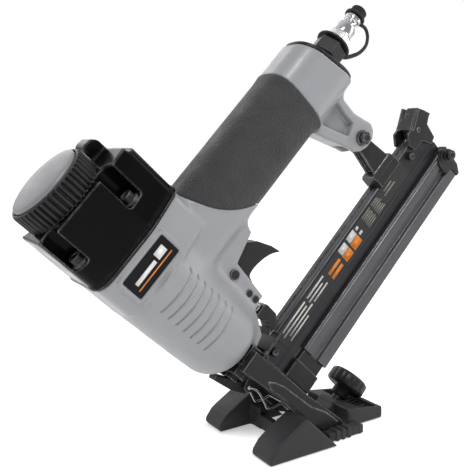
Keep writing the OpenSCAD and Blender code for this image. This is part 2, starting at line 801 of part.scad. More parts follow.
module hanger_bolt() {
    color([0.1, 0.1, 0.11]) on_shoe() {
        y_bar(bolt_r, -15.4, 9.5, arm_bolt[0], arm_bolt[1]);
        y_bar(4.25, 9, 13, arm_bolt[0], arm_bolt[1]);
        y_bar(5.5, -10.1, -9, arm_bolt[0], arm_bolt[1]);
        translate([arm_bolt[0], -10, arm_bolt[1]]) rotate([90, 0, 0]) cylinder(r = 4.6, h = 3.8, $fn = 6);
    }
}

// The magazine's section: two side bands with a groove between, and the fastener channel inside
mag_half_section = [[-mag_half_w, mag_bottom + 1], [-mag_half_w, 35.6], [-9.2, 36.2], [-7.2, 36.8],
    [-7, 38], [-7, 42.4], [-9.2, 43.4], [-mag_half_w, 44], [-mag_half_w, 49.6], [-9.3, 50.2],
    [-9.3, 50.8], [-mag_half_w, 51.4], [-mag_half_w, mag_top], [-5.5, mag_top], [-5.5, 29.2]];
function mirrored(points) = [for (i = [len(points) - 1 : -1 : 0]) [-points[i][0], points[i][1]]];

module magazine_channel() {
    color([0.35, 0.35, 0.37]) on_shoe()
        cross_bar(32, mag_end, concat([[9, mag_bottom], [-9, mag_bottom]], mag_half_section,
            mirrored(mag_half_section)));
}

// Cast front end of the magazine, which closes on the nose
module magazine_front() {
    color([0.16, 0.16, 0.17]) on_shoe() difference() {
        union() {
            block([9.2, -mag_half_w, mag_bottom + 1], [23, mag_half_w, mag_top]);
            block([22, -8.4, mag_bottom + 2], [32, 8.4, 50.5]);
        }
        block([9, -5.5, 29.2], [33, 5.5, 60]);
        side_pair(7.4, 12, [[9, 37.4], [24, 37.4], [24, 43.4], [9, 43.4]]);
    }
}

module magazine_end() {
    color([0.13, 0.13, 0.14]) on_shoe() difference() {
        union() {
            side_plate(-10.8, 10.8, [[mag_end, mag_bottom], [219, mag_bottom], [222.6, 33], [223.4, 52],
                [mag_end, 52.6]]);
            side_pair(mag_half_w, 11.4, [[208, 46], [208, 38], [mag_end + 1, 34], [221, 36], [222.4, 52],
                [216, 54.6], [211, 52]]);
            for (s = [-1, 1]) y_bar(4.8, s > 0 ? mag_half_w : -14.6, s > 0 ? 14.6 : -mag_half_w, 218.5, 47.5);
        }
        y_bar(2.55, -17, -9, 218.5, 47.5);
        y_bar(2.55, 9, 17, 218.5, 47.5);
        block([mag_end - 1, -3.4, 35], [mag_end + 3, 3.4, 60]);
    }
}

module magazine_screws() {
    color([0.3, 0.3, 0.31]) on_shoe() for (s = [-1, 1]) {
        y_bar(2.5, s > 0 ? 9 : -14, s > 0 ? 14 : -9, 218.5, 47.5);
        y_bar(3.9, s > 0 ? 14.6 : -17.6, s > 0 ? 17.6 : -14.6, 218.5, 47.5);
        y_bar(2.5, s > 0 ? 13.9 : -14.7, s > 0 ? 14.7 : -13.9, 218.5, 47.5);
    }
}

module pusher() {
    color([0.6, 0.6, 0.62]) on_shoe() difference() {
        block([11, -5.1, 29.6], [44, 5.1, 52]);
        block([10, -3.4, 35.6], [45, 3.4, 60]);
    }
}

module pusher_spring() {
    color([0.7, 0.7, 0.72]) on_shoe() translate([44.2, 0, 32.4]) rotate([0, 90, 0])
        coil(2.4, 0.4, mag_end - 44.6, 26, 8, 5);
}

// Sprung lever over the rear of the rail: a channel with a bent top
// Bent sheet: two cheeks beside the rail and a thumb flange with a hole
module magazine_latch() {
    color([0.17, 0.17, 0.18]) on_shoe() difference() {
        union() {
            side_pair(latch_in, latch_out, [[209.3, 85], [224.4, 92.6], [228, 86.5], [230.9, 79.9],
                [228.1, 79.2], [223.2, 76.2], [221.7, 64], [216, 62.5], [211.1, 70.9], [201.4, 71.6],
                [199.1, 78], [204.4, 85]]);
            side_plate(-latch_out, latch_out, [[209.3, 85], [224.4, 92.6], [225.4, 90.6], [210.3, 83]]);
        }
        y_bar(1.55, -20, 20, mag_latch_pivot[0], mag_latch_pivot[1]);
        translate([209.3, 0, 85]) rotate([0, -26.7, 0]) {
            z_bar(2, -5, 5, 10.5);
            // the far corner of the flange is cut off
            translate([2, latch_out + 0.1, -12]) rotate([0, 0, -24]) cube([30, 12, 30]);
        }
    }
}

module magazine_latch_pin() {
    color([0.5, 0.5, 0.52]) on_shoe() y_bar(1.5, -8.9, 8.9, mag_latch_pivot[0], mag_latch_pivot[1]);
}

// ---- shoe ----

// One front foot from the side, in the standing axes
foot_profile = concat(
    [[foot_back * 2 * cos(lean), 0]],
    [[-foot_front, 0], [-foot_front - 1.2, 1.8], [-foot_front - 0.6, 4.6]],
    [[-foot_front + 4, 10.4], [-foot_front + 8, 13.2], [-41, 23], [-37.8, 24.6], [-36, 24.0]]
);

module shoe() {
    color([0.22, 0.22, 0.23]) {
        standing() difference() {
            union() {
                side_pair(shoe_half_w - foot_w, shoe_half_w, foot_profile);
                // web between the feet, side rails past the frame's bars, and the rear foot
                block([-40, foot_w - shoe_half_w - 0.1, 0], [-35, shoe_half_w - foot_w + 0.1, 10]);
                for (s = [-1, 1]) {
                    translate([-40, s > 0 ? 10.5 : foot_w - shoe_half_w - 0.1, 0])
                        cube([9, shoe_half_w - foot_w - 10.4, 15]);
                    translate([-14, s > 0 ? bar_out + 1.4 : -36, 0]) cube([28, 34.6 - bar_out, 6]);
                    for (x = [-9, -4, 1])
                        side_plate(s > 0 ? bar_out + 1.4 : -37.4, s > 0 ? 37.4 : -bar_out - 1.4,
                            [[x, 0], [x + 3.4, 0], [x + 3.4, 7.4], [x + 1, 7.4]]);
                }
                block([11.8, -36, 0], [16, 36, 6]);
                side_plate(-rear_half_w, rear_half_w, [[11.8, 0], [foot_rear, 0], [foot_rear + 0.6, 2],
                    [foot_rear + 0.6, 8.4], [22, 12], [11.8, 13.6]]);
            }
            // tray with ribs in the top of the rear foot
            block([24, -rear_half_w + 3, 3.4], [foot_rear - 3.4, rear_half_w - 3, 20]);
            rotate([0, -lean, 0]) x_bar(4.06, 5, 34, 0, stud_z);
            rotate([0, -lean, 0]) block([2, -9, 4], [24, 9, 20]);
        }
        on_shoe() difference() {
            block([11.6, -8.5, -11], [21, 8.5, 1.5]);
            x_bar(4.06, 5, 24, 0, stud_z);
        }
        standing() for (y = [-17 : 4.25 : 17])
            block([24, y - 0.6, 3.2], [foot_rear - 3, y + 0.6, 6]);
    }
}

module clamp_knob() {
    color([0.12, 0.12, 0.13]) on_shoe() difference() {
        union() {
            x_bar(knob_r, 33.4, 43, 0, stud_z);
            x_bar(knob_r - 1.2, 33.2, 44, 0, stud_z);
            x_bar(6.3, 25.8, 34, 0, stud_z);
        }
        x_bar(4, 25, 42, 0, stud_z);
        // grip scallops
        for (i = [0 : 17]) translate([30, 0, stud_z]) rotate([i * 20, 0, 0])
            translate([0, knob_r + 0.7, 0]) rotate([0, 90, 0]) cylinder(r = 1.5, h = 20, $fn = 16);
    }
}

module knob_stud() {
    color([0.55, 0.56, 0.58]) on_shoe() x_bar(4, 12.4, 41.9, 0, stud_z);
}

// ---- nodes ----

housing();
handle_tube();
handle_rear();
badge_plate();
grip_sleeve();
end_cap();
inlet_adapter();
air_plug();
dust_cap();
dust_cap_strap();
head_cap();
cap_flange();
cap_bolts();
cap_gasket();
exhaust_deflector();
deflector_disc();
deflector_screw();
head_valve();
head_valve_seals();
head_valve_spring();
cylinder_sleeve();
sleeve_seals();
piston();
piston_ring();
driver_blade();
bumper();
trigger();
trigger_pin();
trigger_valve_body();
valve_stem();
valve_spring();
guide_pins();
nose_block();
nose_bolts();
driver_guide();
front_guide_plate();
guide_plate_pin();
latch_wire();
nose_latch_lever();
nose_latch_pin();
work_contact();
safety_arm();
safety_spring();
base_frame();
magazine_rail();
rail_label();
catch_screws();
hanger_bracket();
hanger_bolt();
magazine_channel();
magazine_front();
magazine_end();
magazine_screws();
pusher();
pusher_spring();
magazine_latch();
magazine_latch_pin();
shoe();
clamp_knob();
knob_stud();
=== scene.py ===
"""Pneumatic brad nailer on its 45 degree floor shoe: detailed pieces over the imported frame.

Most pieces are drawn in the tool's own axes, in millimetres: X back along the handle,
Y away from the camera, Z up the driver axis from the sole. on_tool() leans them into
the row's frame, in metres.
"""
import json
import math

import bmesh
import bpy
import numpy as np
from mathutils import Matrix, Vector


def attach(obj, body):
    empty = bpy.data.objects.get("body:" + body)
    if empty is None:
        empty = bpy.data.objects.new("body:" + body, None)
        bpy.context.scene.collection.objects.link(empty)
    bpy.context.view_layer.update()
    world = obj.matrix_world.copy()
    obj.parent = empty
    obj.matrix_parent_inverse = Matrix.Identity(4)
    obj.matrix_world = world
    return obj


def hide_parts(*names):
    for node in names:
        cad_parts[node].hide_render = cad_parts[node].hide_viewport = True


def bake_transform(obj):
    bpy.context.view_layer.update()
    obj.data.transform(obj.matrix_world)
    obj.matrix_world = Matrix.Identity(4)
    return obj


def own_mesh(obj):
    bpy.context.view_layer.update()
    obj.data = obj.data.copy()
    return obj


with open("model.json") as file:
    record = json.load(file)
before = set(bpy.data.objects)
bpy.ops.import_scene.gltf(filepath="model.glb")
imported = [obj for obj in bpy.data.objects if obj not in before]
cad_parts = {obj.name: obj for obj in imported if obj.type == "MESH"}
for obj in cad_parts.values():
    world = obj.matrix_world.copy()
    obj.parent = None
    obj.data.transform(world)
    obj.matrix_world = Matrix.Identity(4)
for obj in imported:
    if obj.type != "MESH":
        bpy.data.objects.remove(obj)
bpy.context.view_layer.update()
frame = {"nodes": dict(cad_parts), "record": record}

# ---------------------------------------------------------------- camera

camera_data = bpy.data.cameras.new("camera")
camera_data.sensor_width = 36.0
camera_data.lens = 53.43
camera = bpy.data.objects.new("camera", camera_data)
bpy.context.scene.collection.objects.link(camera)
CAMERA_RIGHT = Vector((0.8588, -0.5114, -0.0302))
CAMERA_UP = Vector((0.1001, 0.1097, 0.9890))
CAMERA_BACK = Vector((-0.5025, -0.8523, 0.1454))
turn = Matrix((CAMERA_RIGHT, CAMERA_UP, CAMERA_BACK)).transposed().to_quaternion()
camera.rotation_mode = "QUATERNION"
camera.rotation_quaternion = turn
camera.location = (-0.2612, -0.3912, 0.2097)
bpy.context.scene.camera = camera

# ---------------------------------------------------------------- the tool's axes

MM = 0.001
HALF = math.sqrt(0.5)
CENTRE_X = 34.1


def on_tool(points):
    """Points in the tool's axes, in mm, as points of the row frame, in metres."""
    p = np.asarray(points, float).reshape(-1, 3)
    x = HALF * (p[:, 0] - p[:, 2]) + CENTRE_X
    z = HALF * (p[:, 0] + p[:, 2])
    return np.stack([x, p[:, 1], z], 1) * MM


def on_floor(points):
    """Points in the standing axes about the sole, in mm, as points of the row frame."""
    p = np.asarray(points, float).reshape(-1, 3)
    return (p + [CENTRE_X, 0, 0]) * MM


def arc(cx, cy, r, a0, a1, n=8):
    """Points of an arc about (cx, cy), from angle a0 to a1 in degrees."""
    angles = [math.radians(a0 + (a1 - a0) * i / n) for i in range(n + 1)]
    return [(cx + r * math.cos(a), cy + r * math.sin(a)) for a in angles]


def both_sides(low, high):
    """The range low..high of y and its mirror, the near side first."""
    return (-high, -low), (low, high)


# ---------------------------------------------------------------- materials

def new_material(name):
    """An empty node material: (material, tree, surface shader)."""
    material = bpy.data.materials.new(name)
    material.use_nodes = True
    tree = material.node_tree
    tree.nodes.clear()
    out = tree.nodes.new("ShaderNodeOutputMaterial")
    shader = tree.nodes.new("ShaderNodeBsdfPrincipled")
    tree.links.new(shader.outputs[0], out.inputs[0])
    return material, tree, shader


def add_node(tree, kind, values):
    """A shader node with these values on its inputs."""
    node = tree.nodes.new("ShaderNode" + kind)
    for socket, value in values.items():
        node.inputs[socket].default_value = value
    return node


def noise(tree, where, scale, detail=3.0, rough=0.5):
    """The 0..1 value of a noise over the points of where."""
    node = add_node(tree, "TexNoise", {"Scale": scale, "Detail": detail, "Roughness": rough})
    tree.links.new(where, node.inputs["Vector"])
    return node.outputs["Fac"]


def ramp(tree, value, low, high, from_low=0.3, from_high=0.7):
    """value, stretched from from_low..from_high to low..high."""
    node = add_node(tree, "MapRange",
        {"From Min": from_low, "From Max": from_high, "To Min": low, "To Max": high})
    tree.links.new(value, node.inputs["Value"])
    return node.outputs["Result"]


def blend_colour(tree, factor, a, b):
    """The colour between a and b: each is an (r, g, b) or a socket."""
    node = tree.nodes.new("ShaderNodeMix")
    node.data_type = "RGBA"
    for socket, value in ((node.inputs[6], a), (node.inputs[7], b)):
        if isinstance(value, tuple):
            socket.default_value = (*value, 1.0)
        else:
            tree.links.new(value, socket)
    tree.links.new(factor, node.inputs[0])
    return node.outputs[2]


def bumped(tree, normal, height, strength, depth, invert=False):
    """normal, bumped by a height of so many metres."""
    bump = add_node(tree, "Bump", {"Strength": strength, "Distance": depth})
    bump.invert = invert
    tree.links.new(height, bump.inputs["Height"])
    tree.links.new(normal, bump.inputs["Normal"])
    return bump.outputs[0]


PEBBLE_DEPTH, GRAIN_DEPTH, EDGE_SAMPLES = 0.0006, 0.0004, 4


def surface(name, colour, rough=(0.4, 0.5), metal=0.0, tint=0.08, tint_scale=25.0, grain=(), pebble=None,
        coat=0.0, specular=0.5, round_edge=0.0004, wear_and_highlight=None, brushed=False, sheen=0.0,
        edge_range=(0.80, 0.97)):
    """A surface with uneven colour and gloss, a fine grain, and worn edges with a painted highlight.

    grain is a list of (scale per metre, strength); pebble is (scale, strength) of a
    leather-like grain; wear_and_highlight is (colour, amount) of a lighter colour painted on the
    edges, partly bare material and partly a painted highlight; the edges are round_edge metres
    wide and show where the rounded normal leaves the flat one by edge_range, a pair of cosines.
    brushed draws the grain out along the row's x axis.
    """
    material, tree, shader = new_material(name)
    coords = tree.nodes.new("ShaderNodeTexCoord").outputs["Object"]
    where = coords
    if brushed:
        node = add_node(tree, "Mapping",
            {"Rotation": (0, math.radians(45), 0), "Scale": (0.03, 1.0, 1.0)})
        tree.links.new(coords, node.inputs["Vector"])
        where = node.outputs[0]
    light = tuple(min(1.0, c * (1 + tint)) for c in colour)
    dark = tuple(c * (1 - tint) for c in colour)
    shade = blend_colour(tree, ramp(tree, noise(tree, coords, tint_scale), 0, 1), dark, light)
    fine = noise(tree, where, 420.0, 4.0, 0.6)
    shade = blend_colour(tree, ramp(tree, fine, 0, 0.5), shade, dark)
    rounded = add_node(tree, "Bevel", {"Radius": round_edge})
    rounded.samples = EDGE_SAMPLES
    # Edges get a lighter colour: partly worn bare material, partly a painted highlight.
    if wear_and_highlight:
        geometry = tree.nodes.new("ShaderNodeNewGeometry")
        dot = tree.nodes.new("ShaderNodeVectorMath")
        dot.operation = "DOT_PRODUCT"
        tree.links.new(rounded.outputs[0], dot.inputs[0])
        tree.links.new(geometry.outputs["Normal"], dot.inputs[1])
        edge = ramp(tree, dot.outputs["Value"], wear_and_highlight[1], 0.0, *edge_range)
        patchy = tree.nodes.new("ShaderNodeMath")
        patchy.operation = "MULTIPLY"
        tree.links.new(edge, patchy.inputs[0])
        tree.links.new(ramp(tree, noise(tree, coords, 260.0), 0.2, 1.0), patchy.inputs[1])
        shade = blend_colour(tree, patchy.outputs[0], shade, wear_and_highlight[0])
    tree.links.new(shade, shader.inputs["Base Color"])
    gloss = ramp(tree, noise(tree, where, 90.0, 4.0), rough[0], rough[1])
    tree.links.new(gloss, shader.inputs["Roughness"])
    for socket, value in {"Metallic": metal, "Specular IOR Level": specular, "Coat Weight": coat,
            "Coat Roughness": 0.12, "Sheen Weight": sheen}.items():
        shader.inputs[socket].default_value = value
    normal = rounded.outputs[0]
    if pebble:
        cells = add_node(tree, "TexVoronoi", {"Scale": pebble[0]})
        tree.links.new(where, cells.inputs["Vector"])
        normal = bumped(tree, normal, cells.outputs["Distance"], pebble[1], PEBBLE_DEPTH, invert=True)
    for scale, strength in grain:
        normal = bumped(tree, normal, noise(tree, where, scale, 2.0), strength, GRAIN_DEPTH)
    tree.links.new(normal, shader.inputs["Normal"])
    return material


# Lighter edge colours below: partly wear, mostly painted highlight on black steel, gloss and anodised
# parts.
PAINT = {
    "cast_grey": surface("cast_grey", (0.222, 0.225, 0.236), (0.36, 0.5), tint=0.03,
            grain=[(700, 0.10), (120, 0.04)], coat=0.08),
    "black_badge": surface("black_badge", (0.006, 0.006, 0.007), (0.2, 0.3), specular=0.1),
    "grip_rubber": surface("grip_rubber", (0.021, 0.0215, 0.023), (0.52, 0.72), tint=0.14, tint_scale=60,
            pebble=(850, 0.85), grain=[(2400, 0.35)], sheen=0.08, specular=0.35),
    "black_plastic": surface("black_plastic", (0.012, 0.012, 0.013), (0.36, 0.5), tint=0.12,
            grain=[(1600, 0.10)], specular=0.22, wear_and_highlight=((0.22, 0.22, 0.22), 0.7), round_edge=0.0007),
    "black_steel": surface("black_steel", (0.014, 0.014, 0.015), (0.3, 0.46), metal=0.1, tint=0.2,
            grain=[(1100, 0.12)], specular=0.2, wear_and_highlight=((0.5, 0.5, 0.5), 0.85), round_edge=0.0011),
    "bright_steel": surface("bright_steel", (0.5, 0.5, 0.52), (0.12, 0.26), metal=1.0, tint=0.05,
            grain=[(900, 0.05)]),
    "black_rubber": surface("black_rubber", (0.010, 0.010, 0.0105), (0.5, 0.7), tint=0.15,
            grain=[(1500, 0.15)], specular=0.3),
    "gloss_black": surface("gloss_black", (0.0035, 0.0035, 0.004), (0.14, 0.26), tint=0.2,
            grain=[(420, 0.05)], specular=0.05, wear_and_highlight=((0.45, 0.45, 0.46), 0.9), round_edge=0.0012,
            edge_range=(0.90, 0.995)),
    "satin_alloy": surface("satin_alloy", (0.175, 0.175, 0.183), (0.42, 0.52), metal=0.2, tint=0.03,
            grain=[(1500, 0.05)]),
    "white_plastic": surface("white_plastic", (0.72, 0.7, 0.64), (0.4, 0.5)),
    "tool_steel": surface("tool_steel", (0.38, 0.385, 0.39), (0.22, 0.36), metal=1.0,
            grain=[(900, 0.06)], brushed=True),
    "dark_anodised": surface("dark_anodised", (0.028, 0.028, 0.031), (0.3, 0.42), metal=0.7, tint=0.08,
            grain=[(1400, 0.08)], brushed=True, specular=0.25, wear_and_highlight=((0.7, 0.7, 0.7), 0.8),
            round_edge=0.0006),
    "label_film": surface("label_film", (0.016, 0.016, 0.0155), (0.4, 0.52), tint=0.06, specular=0.25),
    "grey_anodised": surface("grey_anodised", (0.075, 0.075, 0.080), (0.3, 0.42), metal=0.75, tint=0.06,
            grain=[(1300, 0.08)], brushed=True, wear_and_highlight=((0.85, 0.85, 0.85), 0.9), round_edge=0.0006),
    "shoe_plastic": surface("shoe_plastic", (0.024, 0.0245, 0.026), (0.5, 0.64), tint=0.12,
            tint_scale=45, grain=[(1500, 0.4), (320, 0.12)], specular=0.25,
            wear_and_highlight=((0.26, 0.26, 0.26), 0.7), round_edge=0.0011),
}
PRINT_WHITE = surface("print_white", (0.72, 0.72, 0.70), (0.35, 0.5), tint=0.05)
PRINT_ORANGE = surface("print_orange", (0.83, 0.25, 0.03), (0.35, 0.5), tint=0.05)
PRINT_GREY = surface("print_grey", (0.22, 0.22, 0.20), (0.4, 0.5), tint=0.06)

FLOOR = surface("floor", (0.86, 0.86, 0.86), (0.8, 0.9), tint=0.0)
for node in FLOOR.node_tree.nodes:
    if node.type == "BSDF_PRINCIPLED":
        node.inputs["Emission Color"].default_value = (1, 1, 1, 1)
        node.inputs["Emission Strength"].default_value = 0.4

# ---------------------------------------------------------------- pieces from solids


def link_piece(name, vertices, faces, body, slot, hides=(), material=None):
    """A smooth-shaded mesh object in the row frame, riding on a body."""
    mesh = bpy.data.meshes.new(name)
    mesh.from_pydata([tuple(v) for v in vertices], [], [tuple(f) for f in faces])
    piece = bpy.data.objects.new(name, mesh)
    bpy.context.scene.collection.objects.link(piece)
    bm = bmesh.new()
    bm.from_mesh(mesh)
    bmesh.ops.recalc_face_normals(bm, faces=bm.faces)
    for face in bm.faces:
        face.smooth = True
    bm.to_mesh(mesh)
    bm.free()
    mesh.materials.append(material or PAINT[slot])
    if body:
        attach(piece, body)
    if hides:
        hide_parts(*hides)
    return piece


def skin(count, n):
    """Quads between count rings of n points each."""
    return [(k * n + i, k * n + (i + 1) % n, (k + 1) * n + (i + 1) % n, (k + 1) * n + i)
        for k in range(count - 1) for i in range(n)]


def caps(count, n):
    """The two end faces of such a stack of rings."""
    return [tuple(range(n)), tuple(range(count * n - 1, (count - 1) * n - 1, -1))]


CORE = 0.02


class Solids:
    """Closed solids in the tool's axes, gathered into one piece with bevelled edges."""

    def __init__(self):
        self.points, self.faces = [], []

    def add(self, points, faces):
        start = len(self.points)
        self.points += [tuple(p) for p in points]
        self.faces += [tuple(start + i for i in f) for f in faces]

    def prism(self, outline, low, high, axis="y"):
        """An outline pushed along an axis: [x, z] along y, or [y, z] along x."""
        n = len(outline)
        points = [(a, t, b) if axis == "y" else (t, a, b) for t in (low, high) for a, b in outline]
        self.add(points, caps(2, n) + skin(2, n))

    def pair(self, outline, low, high):
        """The same plate on both sides of the tool."""
        self.prism(outline, low, high)
        self.prism(outline, -high, -low)

    def box(self, low, high):
        outline = [(low[0], low[2]), (high[0], low[2]), (high[0], high[2]), (low[0], high[2])]
        self.prism(outline, low[1], high[1])

    def lathe(self, base, along, profile, sides=40, turn_by=0.0, wobble=None):
        """A profile of (radius, height) turned about an axis through base; wobble scales the radii."""
        along = Vector(along).normalized()
        u = along.orthogonal().normalized()
        if abs(along.y) < 0.9:
            u = Vector((0, 1, 0)).cross(along).normalized()
        v = along.cross(u)
        base = Vector(base)
        points = []
        for r, h in profile:
            for i in range(sides):
                a = 2 * math.pi * i / sides + turn_by
                rr = r * (wobble(i, h) if wobble else 1.0)
                points.append(tuple(base + along * h + (u * math.cos(a) + v * math.sin(a)) * rr))
        self.add(points, skin(len(profile), sides) + caps(len(profile), sides))

    def rod(self, base, along, profile, sides=40, **more):
        """A lathed solid closed on its axis: the profile has its outer points only."""
        first, last = (CORE, profile[0][1]), (CORE, profile[-1][1])
        self.lathe(base, along, [first] + profile + [last], sides, **more)

    def tube(self, path, radius, sides=12, flat=1.0):
        """A round wire along a path of points."""
        path = [Vector(p) for p in path]
        n = len(path)
        points = []
        normal = None
        for i, p in enumerate(path):
            tangent = (path[min(i + 1, n - 1)] - path[max(i - 1, 0)]).normalized()
            if normal is None:
                normal = tangent.orthogonal().normalized()
            normal = (normal - tangent * normal.dot(tangent)).normalized()
            side = tangent.cross(normal)
            for k in range(sides):
                a = 2 * math.pi * k / sides
                points.append(tuple(p + normal * radius * math.cos(a)
                    + side * radius * flat * math.sin(a)))
        self.add(points, skin(n, sides) + caps(n, sides))

    def coil(self, start, along, radius, wire, length, turns):
        """A coil spring from start, its wire inside the length."""
        along = Vector(along).normalized()
        u = along.orthogonal().normalized()
        v = along.cross(u)
        steps = int(turns * 20)
        path = []
        for i in range(steps + 1):
            a = 2 * math.pi * turns * i / steps
            h = wire + (length - 2 * wire) * i / steps
            path.append(Vector(start) + along * h + (u * math.cos(a) + v * math.sin(a)) * radius)
        self.tube(path, wire, 8)

    def build(self, name, body, slot, hides=(), bevel=0.4, steps=2, material=None):
        piece = link_piece(name, on_tool(self.points), self.faces, body, slot, hides, material)
        if bevel:
            edge = piece.modifiers.new("edges", "BEVEL")
            edge.width = bevel * MM
            edge.segments = steps
            edge.limit_method = "ANGLE"
            edge.angle_limit = math.radians(32)
            edge.harden_normals = True
        return piece


def smooth_path(points, steps=8):
    """Points of a Catmull-Rom curve through the given ones."""
    p = [Vector(q) for q in points]
    p = [p[0] * 2 - p[1]] + p + [p[-1] * 2 - p[-2]]
    out = []
    for i in range(1, len(p) - 2):
        for s in range(steps):
            t = s / steps
            a, b, c, d = p[i - 1], p[i], p[i + 1], p[i + 2]
            out.append(0.5 * ((2 * b) + (c - a) * t + (2 * a - 5 * b + 4 * c - d) * t * t
                + (3 * b - a - 3 * c + d) * t * t * t))
    out.append(p[-2])
    return out


# ---------------------------------------------------------------- pieces from distance fields

def polygon_distance(u, v, outline):
    """Signed distance to an outline, negative inside."""
    shape = np.broadcast(u, v).shape
    best = np.full(shape, 1e9, np.float32)
    outside = np.ones(shape, bool)
    for i in range(len(outline)):
        (ax, ay), (bx, by) = outline[i], outline[i - 1]
        ex, ey = bx - ax, by - ay
        wx, wy = u - ax, v - ay
        t = np.clip((wx * ex + wy * ey) / (ex * ex + ey * ey), 0, 1)
        best = np.minimum(best, (wx - ex * t) ** 2 + (wy - ey * t) ** 2)
        above, below, left = v >= ay, v < by, ex * wy > ey * wx
        outside ^= (above & below & left) | (~above & ~below & ~left)
    return np.where(outside, 1, -1) * np.sqrt(best)


def line_distance(u, v, path):
    """Distance to an open path."""
    best = None
    for (ax, ay), (bx, by) in zip(path, path[1:]):
        ex, ey = bx - ax, by - ay
        wx, wy = u - ax, v - ay
        t = np.clip((wx * ex + wy * ey) / (ex * ex + ey * ey), 0, 1)
        d = (wx - ex * t) ** 2 + (wy - ey * t) ** 2
        best = d if best is None else np.minimum(best, d)
    return np.sqrt(best)


def slab(flat, along, half, r=0.0):
    """A flat shape pushed to +-half along a third axis, with edges rounded by r."""
    a = flat + r
    b = np.abs(along) - half + r
    return np.minimum(np.maximum(a, b), 0) + np.hypot(np.maximum(a, 0), np.maximum(b, 0)) - r


def soft_rect(u, v, width, height, r):
    """Signed distance to a rectangle about the origin, its corners rounded by r."""
    a = np.abs(u) - width / 2 + r
    b = np.abs(v) - height / 2 + r
    return np.minimum(np.maximum(a, b), 0) + np.hypot(np.maximum(a, 0), np.maximum(b, 0)) - r


def join(a, b, k):
    """Union with a fillet of about k."""
    h = np.maximum(k - np.abs(a - b), 0) / k
    return np.minimum(a, b) - h * h * k * 0.25


def cut(a, b, k=0.6):
    """a without b, with the new edge rounded by about k."""
    return -join(-a, b, k)


def grid(low, high, step):
    """The x, y and z of a box of points, ready to broadcast."""
    axes = [np.arange(a, b + step, step, dtype=np.float32) for a, b in zip(low, high)]
    x = axes[0][:, None, None]
    y = axes[1][None, :, None]
    z = axes[2][None, None, :]
    return x, y, z


def net(field, low, step):
    """Quads round the zero surface of a field: (points, faces)."""
    inside = field < 0
    sx, sy, sz = (n - 1 for n in field.shape)
    count = np.zeros((sx, sy, sz), np.int8)
    corners = [(a, b, c) for a in (0, 1) for b in (0, 1) for c in (0, 1)]
    for a, b, c in corners:
        count += inside[a:sx + a, b:sy + b, c:sz + c]
    i, j, k = np.nonzero((count > 0) & (count < 8))
    index = np.full((sx, sy, sz), -1, np.int64)
    index[i, j, k] = np.arange(len(i))
    total = np.zeros((len(i), 3))
    hits = np.zeros(len(i))
    for p in corners:
        for axis in range(3):
            if p[axis]:
                continue
            q = tuple(1 if n == axis else p[n] for n in range(3))
            fp = field[i + p[0], j + p[1], k + p[2]]
            fq = field[i + q[0], j + q[1], k + q[2]]
            crosses = (fp < 0) != (fq < 0)
            t = np.where(crosses, fp / np.where(crosses, fp - fq, 1), 0)
            at = np.array(p, float)[None, :] + t[:, None] * (np.array(q) - np.array(p))[None, :]
            total += at * crosses[:, None]
            hits += crosses
    points = (np.stack([i, j, k], 1) + total / hits[:, None]) * step + np.array(low)
    faces = []
    for axis in range(3):
        u, v = (axis + 1) % 3, (axis + 2) % 3
        here = [slice(1, -1)] * 3
        here[axis] = slice(0, -1)
        there = list(here)
        there[axis] = slice(1, None)
        near, far = inside[tuple(here)], inside[tuple(there)]
        at = np.stack(np.nonzero(near != far), 1)
        lead = near[tuple(at.T)]
        at[:, u] += 1
        at[:, v] += 1
        ring = []
        for du, dv in ((-1, -1), (0, -1), (0, 0), (-1, 0)):
            cell = at.copy()
            cell[:, u] += du
            cell[:, v] += dv
            ring.append(index[cell[:, 0], cell[:, 1], cell[:, 2]])
        quads = np.stack(ring, 1)
        quads[~lead] = quads[~lead][:, ::-1]
        faces.append(quads)
    return points, np.concatenate(faces)


def relax(points, faces, rounds, weight=0.5):
    """Evens out the net's small steps."""
    edges = np.concatenate([faces[:, [0, 1]], faces[:, [1, 2]], faces[:, [2, 3]], faces[:, [3, 0]]])
    n = len(points)
    degree = np.bincount(edges[:, 0], minlength=n) + np.bincount(edges[:, 1], minlength=n)
    for step in range(rounds):
        push = weight if step % 2 == 0 else -weight * 0.98
        mean = np.stack([np.bincount(edges[:, 0], points[edges[:, 1], c], n) + np.bincount(edges[:, 1],
            points[edges[:, 0], c], n) for c in range(3)], 1)
        points = points + push * (mean / degree[:, None] - points)
    return points


RELAX_ROUNDS = 2


def field_piece(name, shape, low, high, step, body, slot, hides=(), place=on_tool):
    """A piece round the zero surface of shape(x, y, z), a distance in mm."""
    x, y, z = grid(low, high, step)
    field = np.broadcast_to(shape(x, y, z), (x.size, y.size, z.size)).astype(np.float32)
    points, faces = net(field, low, step)
    points = relax(points, faces, RELAX_ROUNDS)
    return link_piece(name, place(points), faces, body, slot, hides)


# ---------------------------------------------------------------- housing

HEAD_HALF_W, HEAD_FRONT, HEAD_REAR = 28.0, 30.5, 46.0
HANDLE_Z, HANDLE_END, END_LEAN = 174.5, 184.0, math.radians(14)


def head_outline(inset):
    """The head's outline from above, [x, y]."""
    half = (arc(HEAD_REAR - 8, 14, 8 - inset, 0, 75, 6) + arc(16, HEAD_HALF_W - 12, 12 - inset, 75, 90, 2)
        + arc(12 - HEAD_FRONT, HEAD_HALF_W - 12, 12 - inset, 90, 180, 6))
    return half + [(x, -y) for x, y in reversed(half)]


